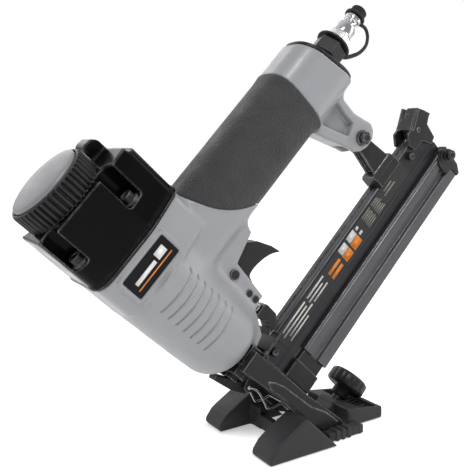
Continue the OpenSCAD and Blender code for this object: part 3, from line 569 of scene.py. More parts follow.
BARREL = ([(-5, 94), (9, 94)] + arc(9, 113, 19, -90, -8, 8)
    + [(28.8, 127), (30.4, 175), (30.4, 214), (-5, 214)])
ARM = [(150, 158), (150, 149.4), (144.7, 149.4), (146, 147), (158.5, 119), (160.5, 113.5), (165, 109.5),
    (171, 107.5), (178, 108), (183, 111.5), (185, 117), (182, 125), (179.5, 133), (179.5, 146),
    (184, 158)]
ARM_POCKET = [(153, 151), (160, 135), (164.5, 125.5), (173.5, 129), (173, 138), (174.5, 153)]
CHEEK = [(14, 160), (66, 160), (67.5, 155.5), (65.4, 148.3), (63.5, 142.3), (42, 136.8), (38.2, 106.3),
    (26.1, 105.7), (18.4, 88.7), (9, 86), (9, 112)]
GRIP_FRONT = ([(2, 220), (42, 220), (46, 204)] + arc(113, 213, 68, 189, 238, 12) + [(84, 145), (2, 145)])
GROOVE_Z = [167.1 - 6.72 * i for i in range(7)]
GROOVE_DEPTH, GROOVE_WIDTH = 1.1, 0.62


def housing_field(x, y, z):
    barrel = polygon_distance(np.hypot(x, y), z, BARREL)
    collar = slab(polygon_distance(x, y, head_outline(0.7)), z - 196, 19, 2.2)
    rim = slab(soft_rect(x, z - 191.6, 41.5, 20.5, 3), y, 28.75, 0.7)
    root = np.maximum(slab(soft_rect(y, z - HANDLE_Z, 39, 49, 14), x - 52, 48),
        polygon_distance(x, z, GRIP_FRONT))
    core = slab(soft_rect(y, z - HANDLE_Z, 34, 44, 13), x - 96, 56)
    rear = slab(soft_rect(y, z - HANDLE_Z, 38.4, 49.6, 15), x - 175, 25, 0.6)
    cheek = slab(polygon_distance(x, z, CHEEK), y, 11, 1.6)
    arm = slab(polygon_distance(x, z, ARM), y, 9, 1.8)
    pocket = np.maximum(polygon_distance(x, z, ARM_POCKET), 3.2 - np.abs(y))
    arm = cut(arm, pocket, 2.0)
    arm = cut(arm, np.maximum(np.maximum(np.abs(y) - 5.1, z - 123.6), 150 - x), 0.5)
    body = join(join(root, cheek, 5), barrel, 9)
    body = join(body, collar, 2.2)
    body = cut(body, slab(soft_rect(x, z - 194.5, 44, 30, 4), np.abs(y) - 38, 9.9, 0.6), 0.8)
    body = join(body, rim, 0.6)
    body = np.minimum(body, np.maximum(core, 44 - x))
    body = np.minimum(body, np.maximum(join(rear, arm, 5), 150.1 - x))
    body = np.minimum(body, np.maximum(arm, z - 152))
    end = (x - HANDLE_END) * math.cos(END_LEAN) + (z - HANDLE_Z) * math.sin(END_LEAN)
    body = cut(body, -end, 0.8)
    body = cut(body, 203.9 - z, 0.8)
    slot_half = 6.3
    for z0, z1 in ((109, 144), (70, 106.5)):
        gap = np.maximum(np.maximum(np.abs(y) - slot_half, np.abs(z - (z0 + z1) / 2) - (z1 - z0) / 2),
            np.abs(x - 56.5) - 33)
        body = cut(body, gap, 0.5)
    body = cut(body, slab(soft_rect(x, z - 191.5, 37.4, 16.4, 1.6), np.abs(y) - 32.2, 4.3, 0.2), 0.3)
    body = np.maximum(body, -np.maximum(np.hypot(x - 31.5, y) - 3.4, np.abs(z - 107) - 5))
    body = np.maximum(body, -np.maximum(np.hypot(x, y) - 24, 106 - z))
    body = np.maximum(body, -np.maximum(np.hypot(y, z - HANDLE_Z) - 13, 20 - x))
    return body


def groove_path(z0):
    """The line of one groove from the side, [x, z]."""
    return [(-15.4, z0 + 0.1), (4, z0), (10.5, z0 + 0.1), (13.6, z0 + 0.8), (15.2, z0 + 2.4)]


def cut_grooves(piece):
    """Fine grooves on both sides of the barrel: the mesh is refined there, then pressed in."""
    bm = bmesh.new()
    bm.from_mesh(piece.data)

    def tool(co):
        x, z = co.x * 1000 - CENTRE_X, co.z * 1000
        return HALF * (x + z), co.y * 1000, HALF * (z - x)

    for _ in range(2):
        chosen = []
        for edge in bm.edges:
            x, y, z = tool((edge.verts[0].co + edge.verts[1].co) / 2)
            if abs(x) < 17.5 and 22 < abs(y) < 31 and 124 < z < 172:
                if min(abs(z - z0 - (1.2 if x > 11 else 0)) for z0 in GROOVE_Z) < 2.4:
                    chosen.append(edge)
        bmesh.ops.subdivide_edges(bm, edges=chosen, cuts=1, use_grid_fill=True)
    near = list(bm.verts)
    at = np.array([tool(v.co) for v in near])
    keep = (np.abs(at[:, 0]) < 18) & (np.abs(at[:, 1]) > 22) & (at[:, 2] > 122) & (at[:, 2] < 173)
    away = [line_distance(at[:, 0], at[:, 2], groove_path(z0)) for z0 in GROOVE_Z]
    depth = np.max([GROOVE_DEPTH * np.exp(-(d / GROOVE_WIDTH) ** 2) * keep for d in away], axis=0)
    bm.normal_update()
    for i in np.nonzero(depth > 0.004)[0]:
        near[i].co -= near[i].normal * float(depth[i]) * MM
    bm.to_mesh(piece.data)
    bm.free()


HOUSING_STEP = 0.8
housing = field_piece("housing_casting", housing_field, (-34, -34, 82), (192, 34, 207), HOUSING_STEP,
    "tool", "cast_grey", ["housing", "handle_tube", "handle_rear"])
cut_grooves(housing)

# ---------------------------------------------------------------- grip

SOFT_POWER = 2 / 2.7
FLARE_X, GRIP_END = 139.5, 150.0


def grip_front_x(z):
    """Where the rubber grip starts, at a height z."""
    if z >= 202.4:
        return 45.8 + (202.4 - z) * 1.2
    if z <= 155.3:
        return 77.0 + (155.3 - z) * 0.68
    return 113 - math.sqrt(68 ** 2 - (z - 213) ** 2)


def soft_point(half_w, half_h, i, n):
    """Point i of n on the handle's rounded section, as (across, up)."""
    c, s = math.cos(2 * math.pi * i / n), math.sin(2 * math.pi * i / n)
    return (half_w * math.copysign(abs(c) ** SOFT_POWER, c),
        half_h * math.copysign(abs(s) ** SOFT_POWER, s))


def make_grip():
    """A rubber sleeve with rounded ends and a flared rear lip, as one closed skin."""
    around, rows = 120, []
    edge = [(0.0, -2.4), (0.0, -0.9), (0.3, -0.3), (1.0, 0.0)]
    along = [i / 40 for i in range(1, 40)]
    for dx, off in edge:
        rows.append((0.0, dx, off))
    rows += [(t, 0.0, 0.0) for t in along]
    for dx, off in reversed(edge):
        rows.append((1.0, -dx, off))
    points = []
    for t, dx, off in rows:
        for i in range(around):
            y, z = soft_point(20, 25, i, around)
            length = math.hypot(y, z)
            front = grip_front_x(HANDLE_Z + z)
            if 0 < t < 1:
                x = front + 1.0 + (GRIP_END - front - 2.0) * t
            else:
                x = front + (GRIP_END - front) * t + dx
            low = max(0.0, -math.sin(2 * math.pi * i / around))
            flare = max(0.0, (x - FLARE_X) / (GRIP_END - FLARE_X)) ** 2 * (0.7 + 1.9 * low ** 2)
            swell = 1 + (off + flare) / length
            points.append((x, y * swell, HANDLE_Z + z * swell))
    faces = [tuple(v % len(points) for v in face) for face in skin(len(rows) + 1, around)]
    link_piece("grip_rubber_sleeve", on_tool(points), faces, "tool", "grip_rubber", ["grip_sleeve"])


make_grip()

# ---------------------------------------------------------------- end cap, plug and dust cap

INLET_Z = 174.5
INLET = (0, 0, INLET_Z)
AXIS_X = (1, 0, 0)


def leaning(points_x, outline):
    """A plate across the handle, leaning with its end face."""
    lean_c, lean_s = math.cos(END_LEAN), math.sin(END_LEAN)
    points = []
    for x, inset in points_x:
        for y, z in outline(inset):
            points.append((HANDLE_END + x * lean_c - z * lean_s, y, HANDLE_Z + x * lean_s + z * lean_c))
    count, n = len(points_x), len(points) // len(points_x)
    return points, caps(count, n) + skin(count, n)


def end_outline(inset):
    """The handle's end outline, [across, up]."""
    return [soft_point(18.6 - inset, 24.6 - inset, i, 72) for i in range(72)]


cap_plate = Solids()
cap_plate.add(*leaning([(0.05, 0.8), (0.5, 0.9), (0.55, 0.1), (1.0, 0.0), (2.6, 0.0), (3.1, 0.5),
    (3.2, 1.2)], end_outline))
cap_plate.build("handle_end_plate", "tool", "black_plastic", ["end_cap"], bevel=0)

adapter = Solids()
adapter.rod(INLET, AXIS_X, [(8, 180), (8, 190.8)], 40)
adapter.rod(INLET, AXIS_X, [(10.6, 190.6), (11.9, 191.6), (11.9, 202.0), (10.6, 203.0)], 6,
    turn_by=math.radians(15))
adapter.build("inlet_hexagon", "tool", "black_steel", ["inlet_adapter"], bevel=0.5)

plug = Solids()
plug.rod(INLET, AXIS_X, [(4.4, 203), (4.4, 206)], 32)
plug.rod(INLET, AXIS_X, [(7.8, 205.3), (8.9, 206), (8.9, 212.4), (7.6, 214.2)], 6, turn_by=0.3)
plug.lathe(INLET, AXIS_X, [(CORE, 213.6), (7.0, 213.9), (7.1, 215), (7.1, 220.6), (6.3, 222.3),
    (4.7, 223.2), (4.3, 224.4), (4.3, 226.2), (4.9, 227), (6.1, 227.5), (6.1, 229.9), (5.5, 230.4),
    (4.1, 230.5), (4.1, 236.4), (CORE, 236.4)], 64)
for k in range(6):
    a = 2 * math.pi * k / 6 + 0.5
    plug.rod((225.3, 4.1 * math.cos(a), INLET_Z + 4.1 * math.sin(a)), (0, math.cos(a), math.sin(a)),
        [(0.8, 0), (0.8, 0.7)], 12)
plug.build("air_plug_bright", "tool", "bright_steel", ["air_plug"], bevel=0.35)

dust = Solids()
ribs = [(4.17, 230.7), (7.0, 230.7), (7.6, 231.1), (7.6, 232.3), (7.0, 232.8), (5.7, 233.0)]
for k in range(4):
    ribs += [(5.5, 233.4 + 1.2 * k), (5.85, 233.7 + 1.2 * k), (5.85, 234.1 + 1.2 * k),
        (5.5, 234.4 + 1.2 * k)]
ribs += [(5.5, 238.0), (4.9, 238.6), (4.0, 238.8), (CORE, 238.9)]
dust.lathe(INLET, AXIS_X, ribs + [(CORE, 236.8), (4.17, 236.8), (4.17, 230.7)], 56)
dust.build("dust_cap_rubber", "dust_cap", "black_rubber", ["dust_cap"], bevel=0.2)

strap = Solids()
strap.tube(smooth_path([(204.2, 0, 164.5), (205.6, 0, 161.6), (210.2, 0, 158.2), (217.5, 0, 154.6),
    (225.3, 0, 153.9), (230.9, 0, 157.0), (233.4, 0, 161.6), (233.0, 0, 165.2), (231.9, 0, 167.4)], 8),
    1.2, 14, flat=1.5)
tail_piece = strap.build("dust_cap_tail", None, "black_rubber", bevel=0)
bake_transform(tail_piece)
strap_ring = Solids()
strap_ring.lathe(INLET, AXIS_X, [(4.45, 203.1), (11.6, 203.1), (12.6, 203.5), (12.6, 204.8),
    (11.6, 205.25), (4.45, 205.25), (4.45, 203.1)], 64)
strap_ring.build("dust_cap_ring", "tool", "black_rubber", ["dust_cap_strap"], bevel=0.2)

# ---------------------------------------------------------------- head

CAP_BOTTOM, CAP_TOP = 205.2, 247.0
CAP_BOLTS = [(-22.5, -20.5), (-22.5, 20.5), (21.5, -21), (21.5, 21)]
POCKET_FLOOR, POCKET_R = 223.0, 6.2
HOOD = [(29.5, CAP_TOP - 3)] + arc(34, 253, 4.5, 180, 90, 8) + [(38, 257), (42, 252.5),
    (44.5, CAP_TOP - 3)]


def cap_field(x, y, z):
    middle = (CAP_BOTTOM + CAP_TOP) / 2
    body = slab(polygon_distance(x, y, head_outline(0.0)), z - middle, (CAP_TOP - CAP_BOTTOM) / 2, 1.3)
    hood = slab(polygon_distance(x, z, HOOD), y - 14.5, 8.5, 1.4)
    skirt = slab(polygon_distance(x, y, head_outline(-0.6)), z - (CAP_BOTTOM + 1.6), 1.6, 0.7)
    body = join(join(body, hood, 2.5), skirt, 1.2)
    for ax, ay in CAP_BOLTS:
        turned = math.radians((125 if ax < 0 else 80) * (1 if ay > 0 else -1))
        u = (x - ax) * math.cos(turned) + (y - ay) * math.sin(turned)
        v = -(x - ax) * math.sin(turned) + (y - ay) * math.cos(turned)
        pocket = np.minimum(np.hypot(u, v) - POCKET_R, soft_rect(u - 7, v, 14, 2 * POCKET_R - 0.4, 0.2))
        body = cut(body, slab(pocket, z - POCKET_FLOOR - 20, 20, 1.2), 1.2)
    rear_step = soft_rect(x - 50, z - 250, 18, 16, 3)
    body = cut(body, np.maximum(rear_step, np.abs(y) - 60), 1.5)
    return cut(body, np.maximum(np.hypot(x, y) - 21.6, z - 236), 0.4)


CAP_STEP = 0.5
field_piece("head_cap_gloss", cap_field, (-33, -31, 203), (49, 31, 260), CAP_STEP, "tool", "gloss_black",
    ["head_cap", "cap_flange"])


def knurl(i, h):
    """The bolt heads' fine ribs, as a share of their radius."""
    return 1.0 if h < 224.5 or i % 2 else 0.97


bolts = Solids()
for ax, ay in CAP_BOLTS:
    bolts.rod((ax, ay, 0), (0, 0, 1), [(2.3, 225.6), (2.3, 228.6), (3.8, 228.9), (4.25, 228.3),
        (4.25, 224.4), (2.6, 224.4), (2.6, 192)], 40, wobble=knurl)
    bolts.rod((ax, ay, 0), (0, 0, 1), [(5.2, 223.0), (5.4, 223.3), (5.2, 224.3)], 40)
bolts.build("head_cap_bolts", "tool", "black_steel", ["cap_bolts"], bevel=0.15)

RING_Z, FLUTES = 247.4, 46


def flute(i, h):
    """The fluted band's radius at step i round it and height h, as a share of the plain one."""
    if h <= 0.3 or h >= 14.75 or h in (9, 13.4):
        return 1.0
    depth = max(0.0, 0.25 + 0.75 * math.cos(2 * math.pi * i / 8))
    fade = min(1.0, max(0.0, (14.6 - h) / 1.0))
    return 1 - 0.085 * depth * fade


band = Solids()
band.rod((0, 0, RING_Z), (0, 0, 1), [(22, 9), (22, 0), (25.6, 0), (26.1, 0.4), (26.55, 1.2), (26.6, 6),
    (26.6, 12.4), (26.5, 13.6), (26.1, 14.4), (25.5, 14.9), (24.9, 14.95), (24.5, 14.6), (24.4, 13.4)],
    FLUTES * 8, wobble=flute)
band.build("deflector_fluted_band", "deflector", "black_plastic", ["exhaust_deflector"], bevel=0.2)

dome = Solids()
DOME_R, DISC_R = 72.0, 23.8
dome_profile = [(CORE, 7.2)]
dome_profile += [(r, 7.2 - DOME_R + math.sqrt(DOME_R ** 2 - r * r)) for r in range(2, 22, 2)]
dome.lathe((0, 0, 261.0), (0, 0, 1), dome_profile + [(22.3, 3.6), (23.3, 3.1), (DISC_R, 2.4),
    (DISC_R, 0.1), (CORE, 0.1)], 128)
dome.build("deflector_disc_satin", "deflector", "satin_alloy", ["deflector_disc"], bevel=0)

badge, mark = Solids(), Solids()
for y0, y1 in both_sides(28.48, 28.62):
    badge.box((-15.2, y0, 187.6), (15.2, y1, 188.3))
    for x0, x1, z1 in ((-13.6, 4.0, 193.0), (6.0, 13.6, 195.6)):
        mark.box((x0, y0, 190.4), (x1, y1, z1))
badge.build("badge_line", "tool", "black_badge", bevel=0, material=PRINT_ORANGE)
mark.build("badge_bar", "tool", "black_badge", bevel=0, material=PRINT_WHITE)

# ---------------------------------------------------------------- trigger

trigger = Solids()
FINGER_FACE = smooth_path([(70.3, 112.7, 0), (65, 117.0, 0), (59.5, 119.6, 0), (53.5, 121.2, 0),
    (48, 121.8, 0), (44, 121.4, 0), (42.5, 120.2, 0)], 3)
TRIGGER = ([(31, 131), (30.6, 135), (32, 138), (35, 139.3), (49.5, 139.5), (58.2, 137.6), (64, 131.5),
    (68.5, 121), (70.3, 112.7)] + [(p.x, p.y) for p in FINGER_FACE[1:]]
    + [(40.9, 115.8), (39.3, 116.2), (39.2, 124)])
trigger.prism(TRIGGER, -5.8, 5.8)
trigger.build("trigger_lever", "trigger", "black_plastic", ["trigger"], bevel=0.9, steps=3)

# ---------------------------------------------------------------- shoe

FOOT = [(-12.2, 0), (-66, 0), (-67.2, 1.8), (-66.6, 4.6), (-62, 10.4), (-58, 13.2), (-41, 23),
    (-37.8, 24.6), (-36, 24.0)]
HEEL = [(11.8, 0), (44, 0), (44.6, 2), (44.6, 8.4), (22, 12), (11.8, 13.6)]
STUD_Z = -6.0
STUD = (0, 0, STUD_Z)


def block_field(x, y, z, low, high, r=0.6):
    """Signed distance to a box from corner to corner, its edges rounded by r."""
    c = [(a + b) / 2 for a, b in zip(low, high)]
    h = [(b - a) / 2 - r for a, b in zip(low, high)]
    q = [np.abs(x - c[0]) - h[0], np.abs(y - c[1]) - h[1], np.abs(z - c[2]) - h[2]]
    inner = np.minimum(np.maximum(np.maximum(q[0], q[1]), q[2]), 0)
    outer = np.sqrt(np.maximum(q[0], 0) ** 2 + np.maximum(q[1], 0) ** 2 + np.maximum(q[2], 0) ** 2)
    return inner + outer - r


def shoe_field(x, y, z):
    side = np.abs(y)
    feet = slab(polygon_distance(x, z, FOOT), side - 31.8, 11.2, 1.5)
    body = join(feet, block_field(x, y, z, (-40, -21.5, 0), (-35, 21.5, 10)), 2)
    body = join(body, block_field(x, side, z, (-40, 10.5, 0), (-31, 21.5, 15)), 2)
    body = join(body, block_field(x, side, z, (-14, 28.4, 0), (14, 36, 6)), 1)
    body = join(body, block_field(x, y, z, (11.8, -36, 0), (16, 36, 6)), 1)
    for rib in (-9, -4, 1):
        body = np.minimum(body, block_field(x, side, z, (rib, 28.4, 0), (rib + 3.2, 37.4, 7.4)))
    heel = slab(polygon_distance(x, z, HEEL), y, 24, 1.5)
    heel = cut(heel, block_field(x, y, z, (24, -21, 3.4), (40.6, 21, 22), 1.0), 0.8)
    bars = np.minimum.reduce([block_field(x, y, z, (23, yi - 0.6, 3), (41.5, yi + 0.6, 6.2), 0.3)
        for yi in np.arange(-17, 17.1, 4.25)])
    body = join(body, np.minimum(heel, bars), 1.5)
    xt, zt = HALF * (x + z), HALF * (z - x)
    boss = block_field(xt, y, zt, (11.6, -8.5, -11), (21, 8.5, 1.5), 1.0)
    body = cut(body, block_field(xt, y, zt, (2, -9, 4), (24, 9, 20)), 0.6)
    body = join(body, boss, 1.5)
    return np.maximum(body, -np.maximum(np.hypot(y, zt - STUD_Z) - 4.1, np.abs(xt - 15) - 11))


SHOE_STEP = 0.6
field_piece("floor_shoe", shoe_field, (-69, -44.5, -1.5), (47, 44.5, 27), SHOE_STEP, "shoe",
    "shoe_plastic", ["shoe"], place=on_floor)


def knob_wave(i, h):
    """The knob's finger waves, as a share of its radius."""
    return 1 - 0.035 * max(0.0, math.cos(2 * math.pi * i / 12)) ** 2 if 33.3 < h < 43.5 else 1.0


knob = Solids()
knob.lathe(STUD, AXIS_X, [(CORE, 25.8), (5.8, 25.8), (6.3, 26.3), (6.3, 33.2), (12.6, 33.2),
    (13.9, 33.9), (14.5, 35.2), (14.5, 41.3), (14.0, 42.8), (12.7, 43.7), (10.6, 44), (9.6, 43.3),
    (CORE, 43.1)], 144, wobble=knob_wave)
knob.build("clamp_knob_grip", "knob", "black_plastic", ["clamp_knob"], bevel=0)
stud = Solids()
thread = [(4.0 - 0.5 * (i % 2), 13 + 0.5 * i) for i in range(27)]
stud.lathe(STUD, AXIS_X, [(CORE, 12.4), (3.4, 12.4)] + thread
    + [(3.9, 26.6), (3.9, 41.6), (CORE, 41.9)], 32)
stud.build("clamp_stud", "knob", "black_steel", ["knob_stud"], bevel=0)

# ---------------------------------------------------------------- nose

BAR = [(-10.9, 96), (4.4, 96), (5.2, 74), (5.9, 41.7), (8.2, 18.5), (9.2, 4.7), (6.9, -5.9), (-5, 6),
    (-8, 12), (-8, 57), (-9.4, 78)]
BAR_PAD = [(-7.6, 70), (-5, 75), (-2.5, 70), (-0.5, 62), (1.4, 34), (5.5, 20), (6.5, 6), (-3.4, 12),
    (-6.8, 26), (-6.6, 58)]
base = Solids()
base.pair(BAR, 22, 27)
base.pair(BAR_PAD, 26.9, 27.75)
base.box((-10, -22.1, 82), (0.1, 22.1, 86))
base.box((0.05, -12, 82), (8.4, 12, 86))
for y0, y1 in both_sides(14.9, 22.1):
    base.box((0.05, y0, 82), (8.4, y1, 86))
base.build("base_side_bars", "tool", "black_steel", ["base_frame"], bevel=0.8, steps=3)

guide = Solids()
guide.prism([(1, 82), (1, 2), (8.5, -6), (8.5, 82)], -12, 12)
guide.pair([(1.1, 3), (1.1, 20), (-6, 14), (-6.2, 8), (-4.5, 5.4), (-2, 4)], 9.6, 12)
guide.build("driver_guide_block", "tool", "black_steel", ["driver_guide"], bevel=0.5)

door = Solids()
door.prism([(-1, 8), (-1, 79), (-4.2, 79), (-5.4, 60), (-5.4, 8.6), (-4.4, 5.6), (-2.6, 5.4)], -9.2, 9.2)
door.pair([(-1.1, 14), (0.4, 14), (0.4, 76), (-1.1, 76)], 4.6, 9)
door.pair([(-5, 60), (-15, 66), (-17, 70), (-15.5, 73.6), (-5, 76)], 4.2, 7)
door.prism([(-5.2, 16), (-6.4, 18), (-6.4, 50), (-5.2, 54)], -5, 5)
door.build("front_guide_door", "front_plate", "black_steel", ["front_guide_plate"], bevel=0.5)

lever = Solids()
lever.prism([(-11.4, 68), (-11, 72.5), (-14, 76.5), (-18.6, 89.5), (-21.3, 95.6), (-24.4, 94.6),
    (-21.8, 76.5), (-18.5, 68), (-14.5, 65.4)], -3.8, 3.8)
lever.build("nose_latch_tab", "latch_lever", "black_steel", ["nose_latch_lever"], bevel=0.6)

bail = Solids()
for side in (-1, 1):
    bail.tube(smooth_path([(-12.6, side * 7.9, 69.5), (-11.6, side * 7.9, 62.6), (-14.4, side * 7.9, 53),
        (-16, side * 7.9, 48), (-13, side * 7.9, 44.6), (-9, side * 7.9, 42), (-6.5, side * 7.9, 40.5),
        (-6.3, side * 6.6, 40.4), (-6.3, 0, 40.4)], 8), 0.85, 12)
bail.build("latch_bail_wire", "front_plate", "tool_steel", ["latch_wire"], bevel=0)

contact = Solids()
contact.pair([(0.6, 0.4), (2.6, 0.2), (3.2, -1.9), (5, -2.2), (5.6, -4.4), (8.3, -7), (8.3, 78.3),
    (12, 78.3), (12, 80.2), (0.6, 80.2)], 12.4, 14.4)
contact.build("work_contact_legs", "safety", "black_steel", ["work_contact"], bevel=0.35)
yoke = Solids()
yoke.box((12, -14.4, 78.3), (27, 14.4, 80.2))
yoke.prism([(22, 80.2), (22, 79), (27, 78.3), (31, 79.3), (37, 86), (37.4, 96), (35.4, 98), (27, 98),
    (26.4, 94), (28.5, 87), (26, 82.4)], -5.5, 5.5)
yoke.rod((31.5, 0, 0), (0, 0, 1), [(2.9, 97), (2.9, 116.4), (2.3, 117)], 32)
yoke.build("safety_yoke_arm", "safety", "black_steel", ["safety_arm"], bevel=0.5)

# ---------------------------------------------------------------- rail and magazine

rail = Solids()
rail.prism([(-6, 61), (-6, 76.5), (-4.8, 77.7), (-1.2, 77.7), (-1, 76.6), (1, 76.6), (1.2, 77.7),
    (4.8, 77.7), (6, 76.5), (6, 61), (6.8, 60), (6.8, 53.1), (-6.8, 53.1), (-6.8, 60)], 8.5, 220, "x")
rail.prism([(-3, 36), (3, 36), (3, 53.5), (-3, 53.5)], 9, 208, "x")
rail.prism([(204, 76.7), (220, 76.7), (219, 82), (216, 82.4), (212.2, 82.4), (208, 77.7)], -5, 5)
rail.build("fixed_rail", "tool", "dark_anodised", ["magazine_rail"], bevel=0.35)

MAG_HALF = [(-10, 27.5), (-10, 35.6), (-9.2, 36.2), (-7.2, 36.8), (-7, 38), (-7, 42.4), (-9.2, 43.4),
    (-10, 44), (-10, 49.6), (-9.3, 50.2), (-9.3, 50.8), (-10, 51.4), (-10, 52.6), (-5.5, 52.6),
    (-5.5, 29.2)]
SECTION = [(9, 26.5), (-9, 26.5)] + MAG_HALF + [(-y, z) for y, z in reversed(MAG_HALF)]
channel = Solids()
channel.prism(SECTION, 32, 216, "x")
channel.build("magazine_channel_extrusion", "magazine", "grey_anodised", ["magazine_channel"], bevel=0.28)

front = Solids()
front.prism([(-10, 27.5), (-10, 52.6), (-5.5, 52.6), (-5.5, 29.2), (5.5, 29.2), (5.5, 52.6), (10, 52.6),
    (10, 27.5)], 9.2, 23, "x")
front.prism([(-8.4, 28.5), (-8.4, 50.5), (-5.5, 50.5), (-5.5, 29.2), (5.5, 29.2), (5.5, 50.5),
    (8.4, 50.5), (8.4, 28.5)], 22, 32.3, "x")
front.build("magazine_nose_casting", "magazine", "black_steel", ["magazine_front"], bevel=0.5)

tail = Solids()
tail.pair([(208, 46), (208, 38), (217, 34), (221, 36), (222.4, 52), (216, 54.6), (211, 52)], 10, 11.4)
tail.pair([(216, 26.5), (219, 26.5), (222.6, 33), (223.4, 52), (216, 52.6)], 3.6, 10.8)
tail.prism([(216, 26.5), (219, 26.5), (222.6, 33), (222.7, 34.8), (216, 34.8)], -3.7, 3.7)
for side in (-1, 1):
    tail.lathe((218.5, 0, 47.5), (0, side, 0), [(2.6, 10), (4.8, 10), (4.8, 14.4), (2.6, 14.4),
        (2.6, 10)], 40)
tail.build("magazine_tail_casting", "magazine", "black_plastic", ["magazine_end"], bevel=0.5)


def socket_screw(solids, base, along, r, length, head):
    """A cap screw whose head stands at base + along * length."""
    solids.rod(base, along, [(r, 0), (r, length), (head - 0.4, length), (head, length + 0.4),
        (head, length + 2.6), (head - 0.5, length + 3.0), (head * 0.5, length + 3.0),
        (head * 0.45, length + 1.2)], 36)


screws = Solids()
for side in (-1, 1):
    socket_screw(screws, (218.5, side * 9, 47.5), (0, side, 0), 2.5, 5.6, 3.9)
screws.build("magazine_tail_screws", "magazine", "black_steel", ["magazine_screws"], bevel=0.2)

catches = Solids()
for side in (-1, 1):
    for x, z in ((195.5, 71), (16, 70)):
        catches.rod((x, side * 6, z), (0, side, 0), [(2.4, 0), (2.4, 0.4), (3, 0.8), (3, 2.5),
            (2.5, 3.2), (1.4, 3.2), (1.2, 2.2)], 32)
catches.build("rail_screws", "tool", "black_steel", ["catch_screws"], bevel=0.15)

bracket = Solids()
TONGUE = [(163.5, 84), (166.2, 106), (164.6, 113), (166, 119), (171.4, 122.4), (176.6, 119.6),
    (178.4, 113), (178.2, 106.9), (181.7, 88.7), (181.7, 84)]
bracket.pair(TONGUE, 3.1, 4.9)
bracket.prism([(165.4, 84), (168, 106), (167.6, 113), (176.4, 113), (176.2, 106.9), (179.6, 88.7),
    (179.6, 84)], -3.2, 3.2)
bracket.prism([(-8, 76.3), (-8, 83.6), (-5.6, 87), (5.6, 87), (8, 83.6), (8, 76.3), (6.05, 76.3),
    (6.05, 76.5), (4.8, 77.75), (-4.8, 77.75), (-6.05, 76.5), (-6.05, 76.3)], 160, 184, "x")
bracket.build("hanger_tongue", "tool", "black_steel", ["hanger_bracket"], bevel=0.7, steps=3)

hanger = Solids()
HANGER = (171.4, 0, 116.3)
hanger.rod(HANGER, (0, -1, 0), [(3.6, -13), (4.25, -12.4), (4.25, -9), (2.5, -9), (2.5, 9),
    (5.4, 9), (5.6, 9.4), (5.4, 10.1), (2.5, 10.1), (2.5, 14.9), (1.9, 15.4)], 40)
hanger.lathe(HANGER, (0, -1, 0), [(2.4, 10.0), (4.4, 10.0), (4.9, 10.4), (4.9, 13.0),
    (4.4, 13.7), (2.4, 13.7), (2.4, 10.0)], 6, turn_by=0.4)
hanger.build("hanger_bolt_nut", "tool", "black_steel", ["hanger_bolt"], bevel=0.2)

LATCH_SIDE = [(209.3, 85), (224.4, 92.6), (228, 86.5), (230.9, 79.9), (228.1, 79.2), (223.2, 76.2),
    (221.7, 64), (216, 62.5), (211.1, 70.9), (201.4, 71.6), (199.1, 78), (204.4, 85)]
latch = Solids()
latch.pair(LATCH_SIDE, 6.35, 8.3)
LATCH_TILT = math.radians(26.7)
c, d = math.cos(LATCH_TILT), math.sin(LATCH_TILT)
flange = [(0, -8.5), (17, -8.5), (17, 1.8), (2.5, 8.5), (0, 8.5)]
points = [(209.3 + u * c + w * d, v, 85 + u * d - w * c) for w in (0, 2.1) for u, v in flange]
latch.add(points, caps(2, len(flange)) + skin(2, len(flange)))
stud_base = (209.3 + 10.5 * c - 0.12 * d, 0, 85 + 10.5 * d + 0.12 * c)
latch.rod(stud_base, (-d, 0, c), [(1.9, -1), (1.9, 0)], 24)
latch.rod((214, 0, 80), (0, 1, 0), [(1.5, -8.9), (1.5, 8.9)], 24)
latch.build("magazine_latch_sheet", "magazine_latch", "black_steel",
    ["magazine_latch", "magazine_latch_pin"], bevel=0.45, steps=3)

push = Solids()
push.prism([(-5.1, 29.6), (5.1, 29.6), (5.1, 52), (3.4, 52), (3.4, 35.6), (-3.4, 35.6), (-3.4, 52),
    (-5.1, 52)], 11, 44, "x")
push.build("pusher_block", "pusher", "tool_steel", ["pusher"], bevel=0.3)

# ---------------------------------------------------------------- springs

UPRIGHT_TURNS = 4
UPRIGHT_COILS = {
    "coil_safety": ((31.5, 0, 98.1), 4, 0.6, 8.2, "safety_spring", "safety_press", 0.45),
    "coil_valve": ((49, 0, 154.4), 3.2, 0.45, 7.4, "valve_spring", "valve_stem_push", 0.6),
    "coil_head": ((0, 0, 212.1), 14.7, 0.9, 23.7, "head_valve_spring", "head_valve_lift", 0.83),
}
for name, (start, r, wire, length, node, joint, keep) in UPRIGHT_COILS.items():
    coil = Solids()
    coil.coil(start, (0, 0, 1), r, wire, length, UPRIGHT_TURNS)
    piece = coil.build(name, "tool", "bright_steel", [node], bevel=0)
    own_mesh(piece)
coil = Solids()
coil.coil((44.2, 0, 32.4), AXIS_X, 2.4, 0.4, 171.4, 30)
piece = coil.build("coil_pusher", "magazine", "bright_steel", ["pusher_spring"], bevel=0)
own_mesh(piece)

# ---------------------------------------------------------------- print on the rail plate

SHEET_Y = -6.37


def print_bars(name, bars, material):
    """Thin printed bars on the rail plate: each is (x0, z0, x1, z1)."""
    ink = Solids()
    for x0, z0, x1, z1 in bars:
        ink.box((x0, SHEET_Y, z0), (x1, SHEET_Y + 0.08, z1))
    ink.build(name, "tool", "label_film", bevel=0, material=material)


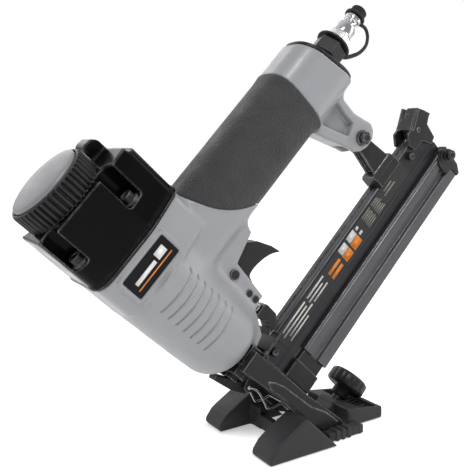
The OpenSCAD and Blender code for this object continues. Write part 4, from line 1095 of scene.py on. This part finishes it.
print_bars("label_orange", [(100.6, 62.4, 109.6, 68.9), (111.4, 62.4, 121.0, 69.4), (84, 68.0, 98, 70.6),
    (84, 63.4, 97, 66.2)], PRINT_ORANGE)
print_bars("label_white", [(101.0, 69.3, 109.4, 74.9), (111.8, 69.8, 120.8, 75.2),
    (122.4, 71.6, 125.4, 73.8), (122.4, 66.6, 126.0, 68.8), (60, 72.2, 80, 73.6), (30, 72.2, 57, 73.6),
    (28, 69.0, 56, 70.2), (59, 69.0, 76, 70.2), (32, 65.8, 60, 67.0), (62, 65.8, 79, 67.0),
    (30, 62.8, 52, 63.9)], PRINT_WHITE)
print_bars("label_notes", [(132, 64 + 1.9 * k, 141.5 + (k % 2), 65.1 + 1.9 * k) for k in range(6)]
    + [(144.5, 64 + 1.9 * k, 154 - (k % 3), 65.1 + 1.9 * k) for k in range(6)]
    + [(158, 68.5, 172, 70.0), (160, 71.5, 170, 72.8)], PRINT_GREY)

# ---------------------------------------------------------------- floor and light

floor_mesh = bpy.data.meshes.new("floor")
FLOOR_HALF = 60.0
corners = [(x * FLOOR_HALF, y * FLOOR_HALF, 0) for x, y in ((-1, -1), (1, -1), (1, 1), (-1, 1))]
floor_mesh.from_pydata(corners, [], [(0, 1, 2, 3)])
floor = bpy.data.objects.new("floor", floor_mesh)
bpy.context.scene.collection.objects.link(floor)
floor_mesh.materials.append(FLOOR)
floor.location.z = -0.0005


def area_light(name, place, target, size, power):
    data = bpy.data.lights.new(name, "AREA")
    data.shape = "RECTANGLE"
    data.size, data.size_y = size
    data.energy = power
    light = bpy.data.objects.new(name, data)
    bpy.context.scene.collection.objects.link(light)
    light.location = place
    light.rotation_mode = "QUATERNION"
    light.rotation_quaternion = (Vector(target) - Vector(place)).to_track_quat("-Z", "Y")


CENTRE = (0, 0, 0.14)
area_light("key", (-0.35, -0.85, 1.35), CENTRE, (0.42, 0.42), 14)
area_light("side", (0.95, -0.45, 0.55), CENTRE, (0.16, 0.9), 3.2)
area_light("back", (-0.2, 1.3, 0.9), CENTRE, (1.6, 1.0), 7)

world = bpy.data.worlds.new("studio")
world.use_nodes = True
bpy.context.scene.world = world
tree = world.node_tree
tree.nodes.clear()
out = tree.nodes.new("ShaderNodeOutputWorld")
sky = tree.nodes.new("ShaderNodeBackground")
tree.links.new(sky.outputs[0], out.inputs[0])
direction = tree.nodes.new("ShaderNodeTexCoord").outputs["Generated"]
toward = tree.nodes.new("ShaderNodeVectorMath")
toward.operation = "DOT_PRODUCT"
toward.inputs[1].default_value = (-0.35, -0.90, -0.05)
tree.links.new(direction, toward.inputs[0])
tree.links.new(ramp(tree, toward.outputs["Value"], 1.0, 0.42, -0.2, 0.35), sky.inputs["Strength"])
sky.inputs["Color"].default_value = (1, 1, 1, 1)
bpy.context.scene.view_settings.view_transform = "Standard"

# ---------------------------------------------------------------- finish

for entry in frame["record"]["subparts"]:
    node = frame["nodes"][entry["node"]]
    node.data.materials.clear()
    node.data.materials.append(PAINT[entry["material_slot"]])
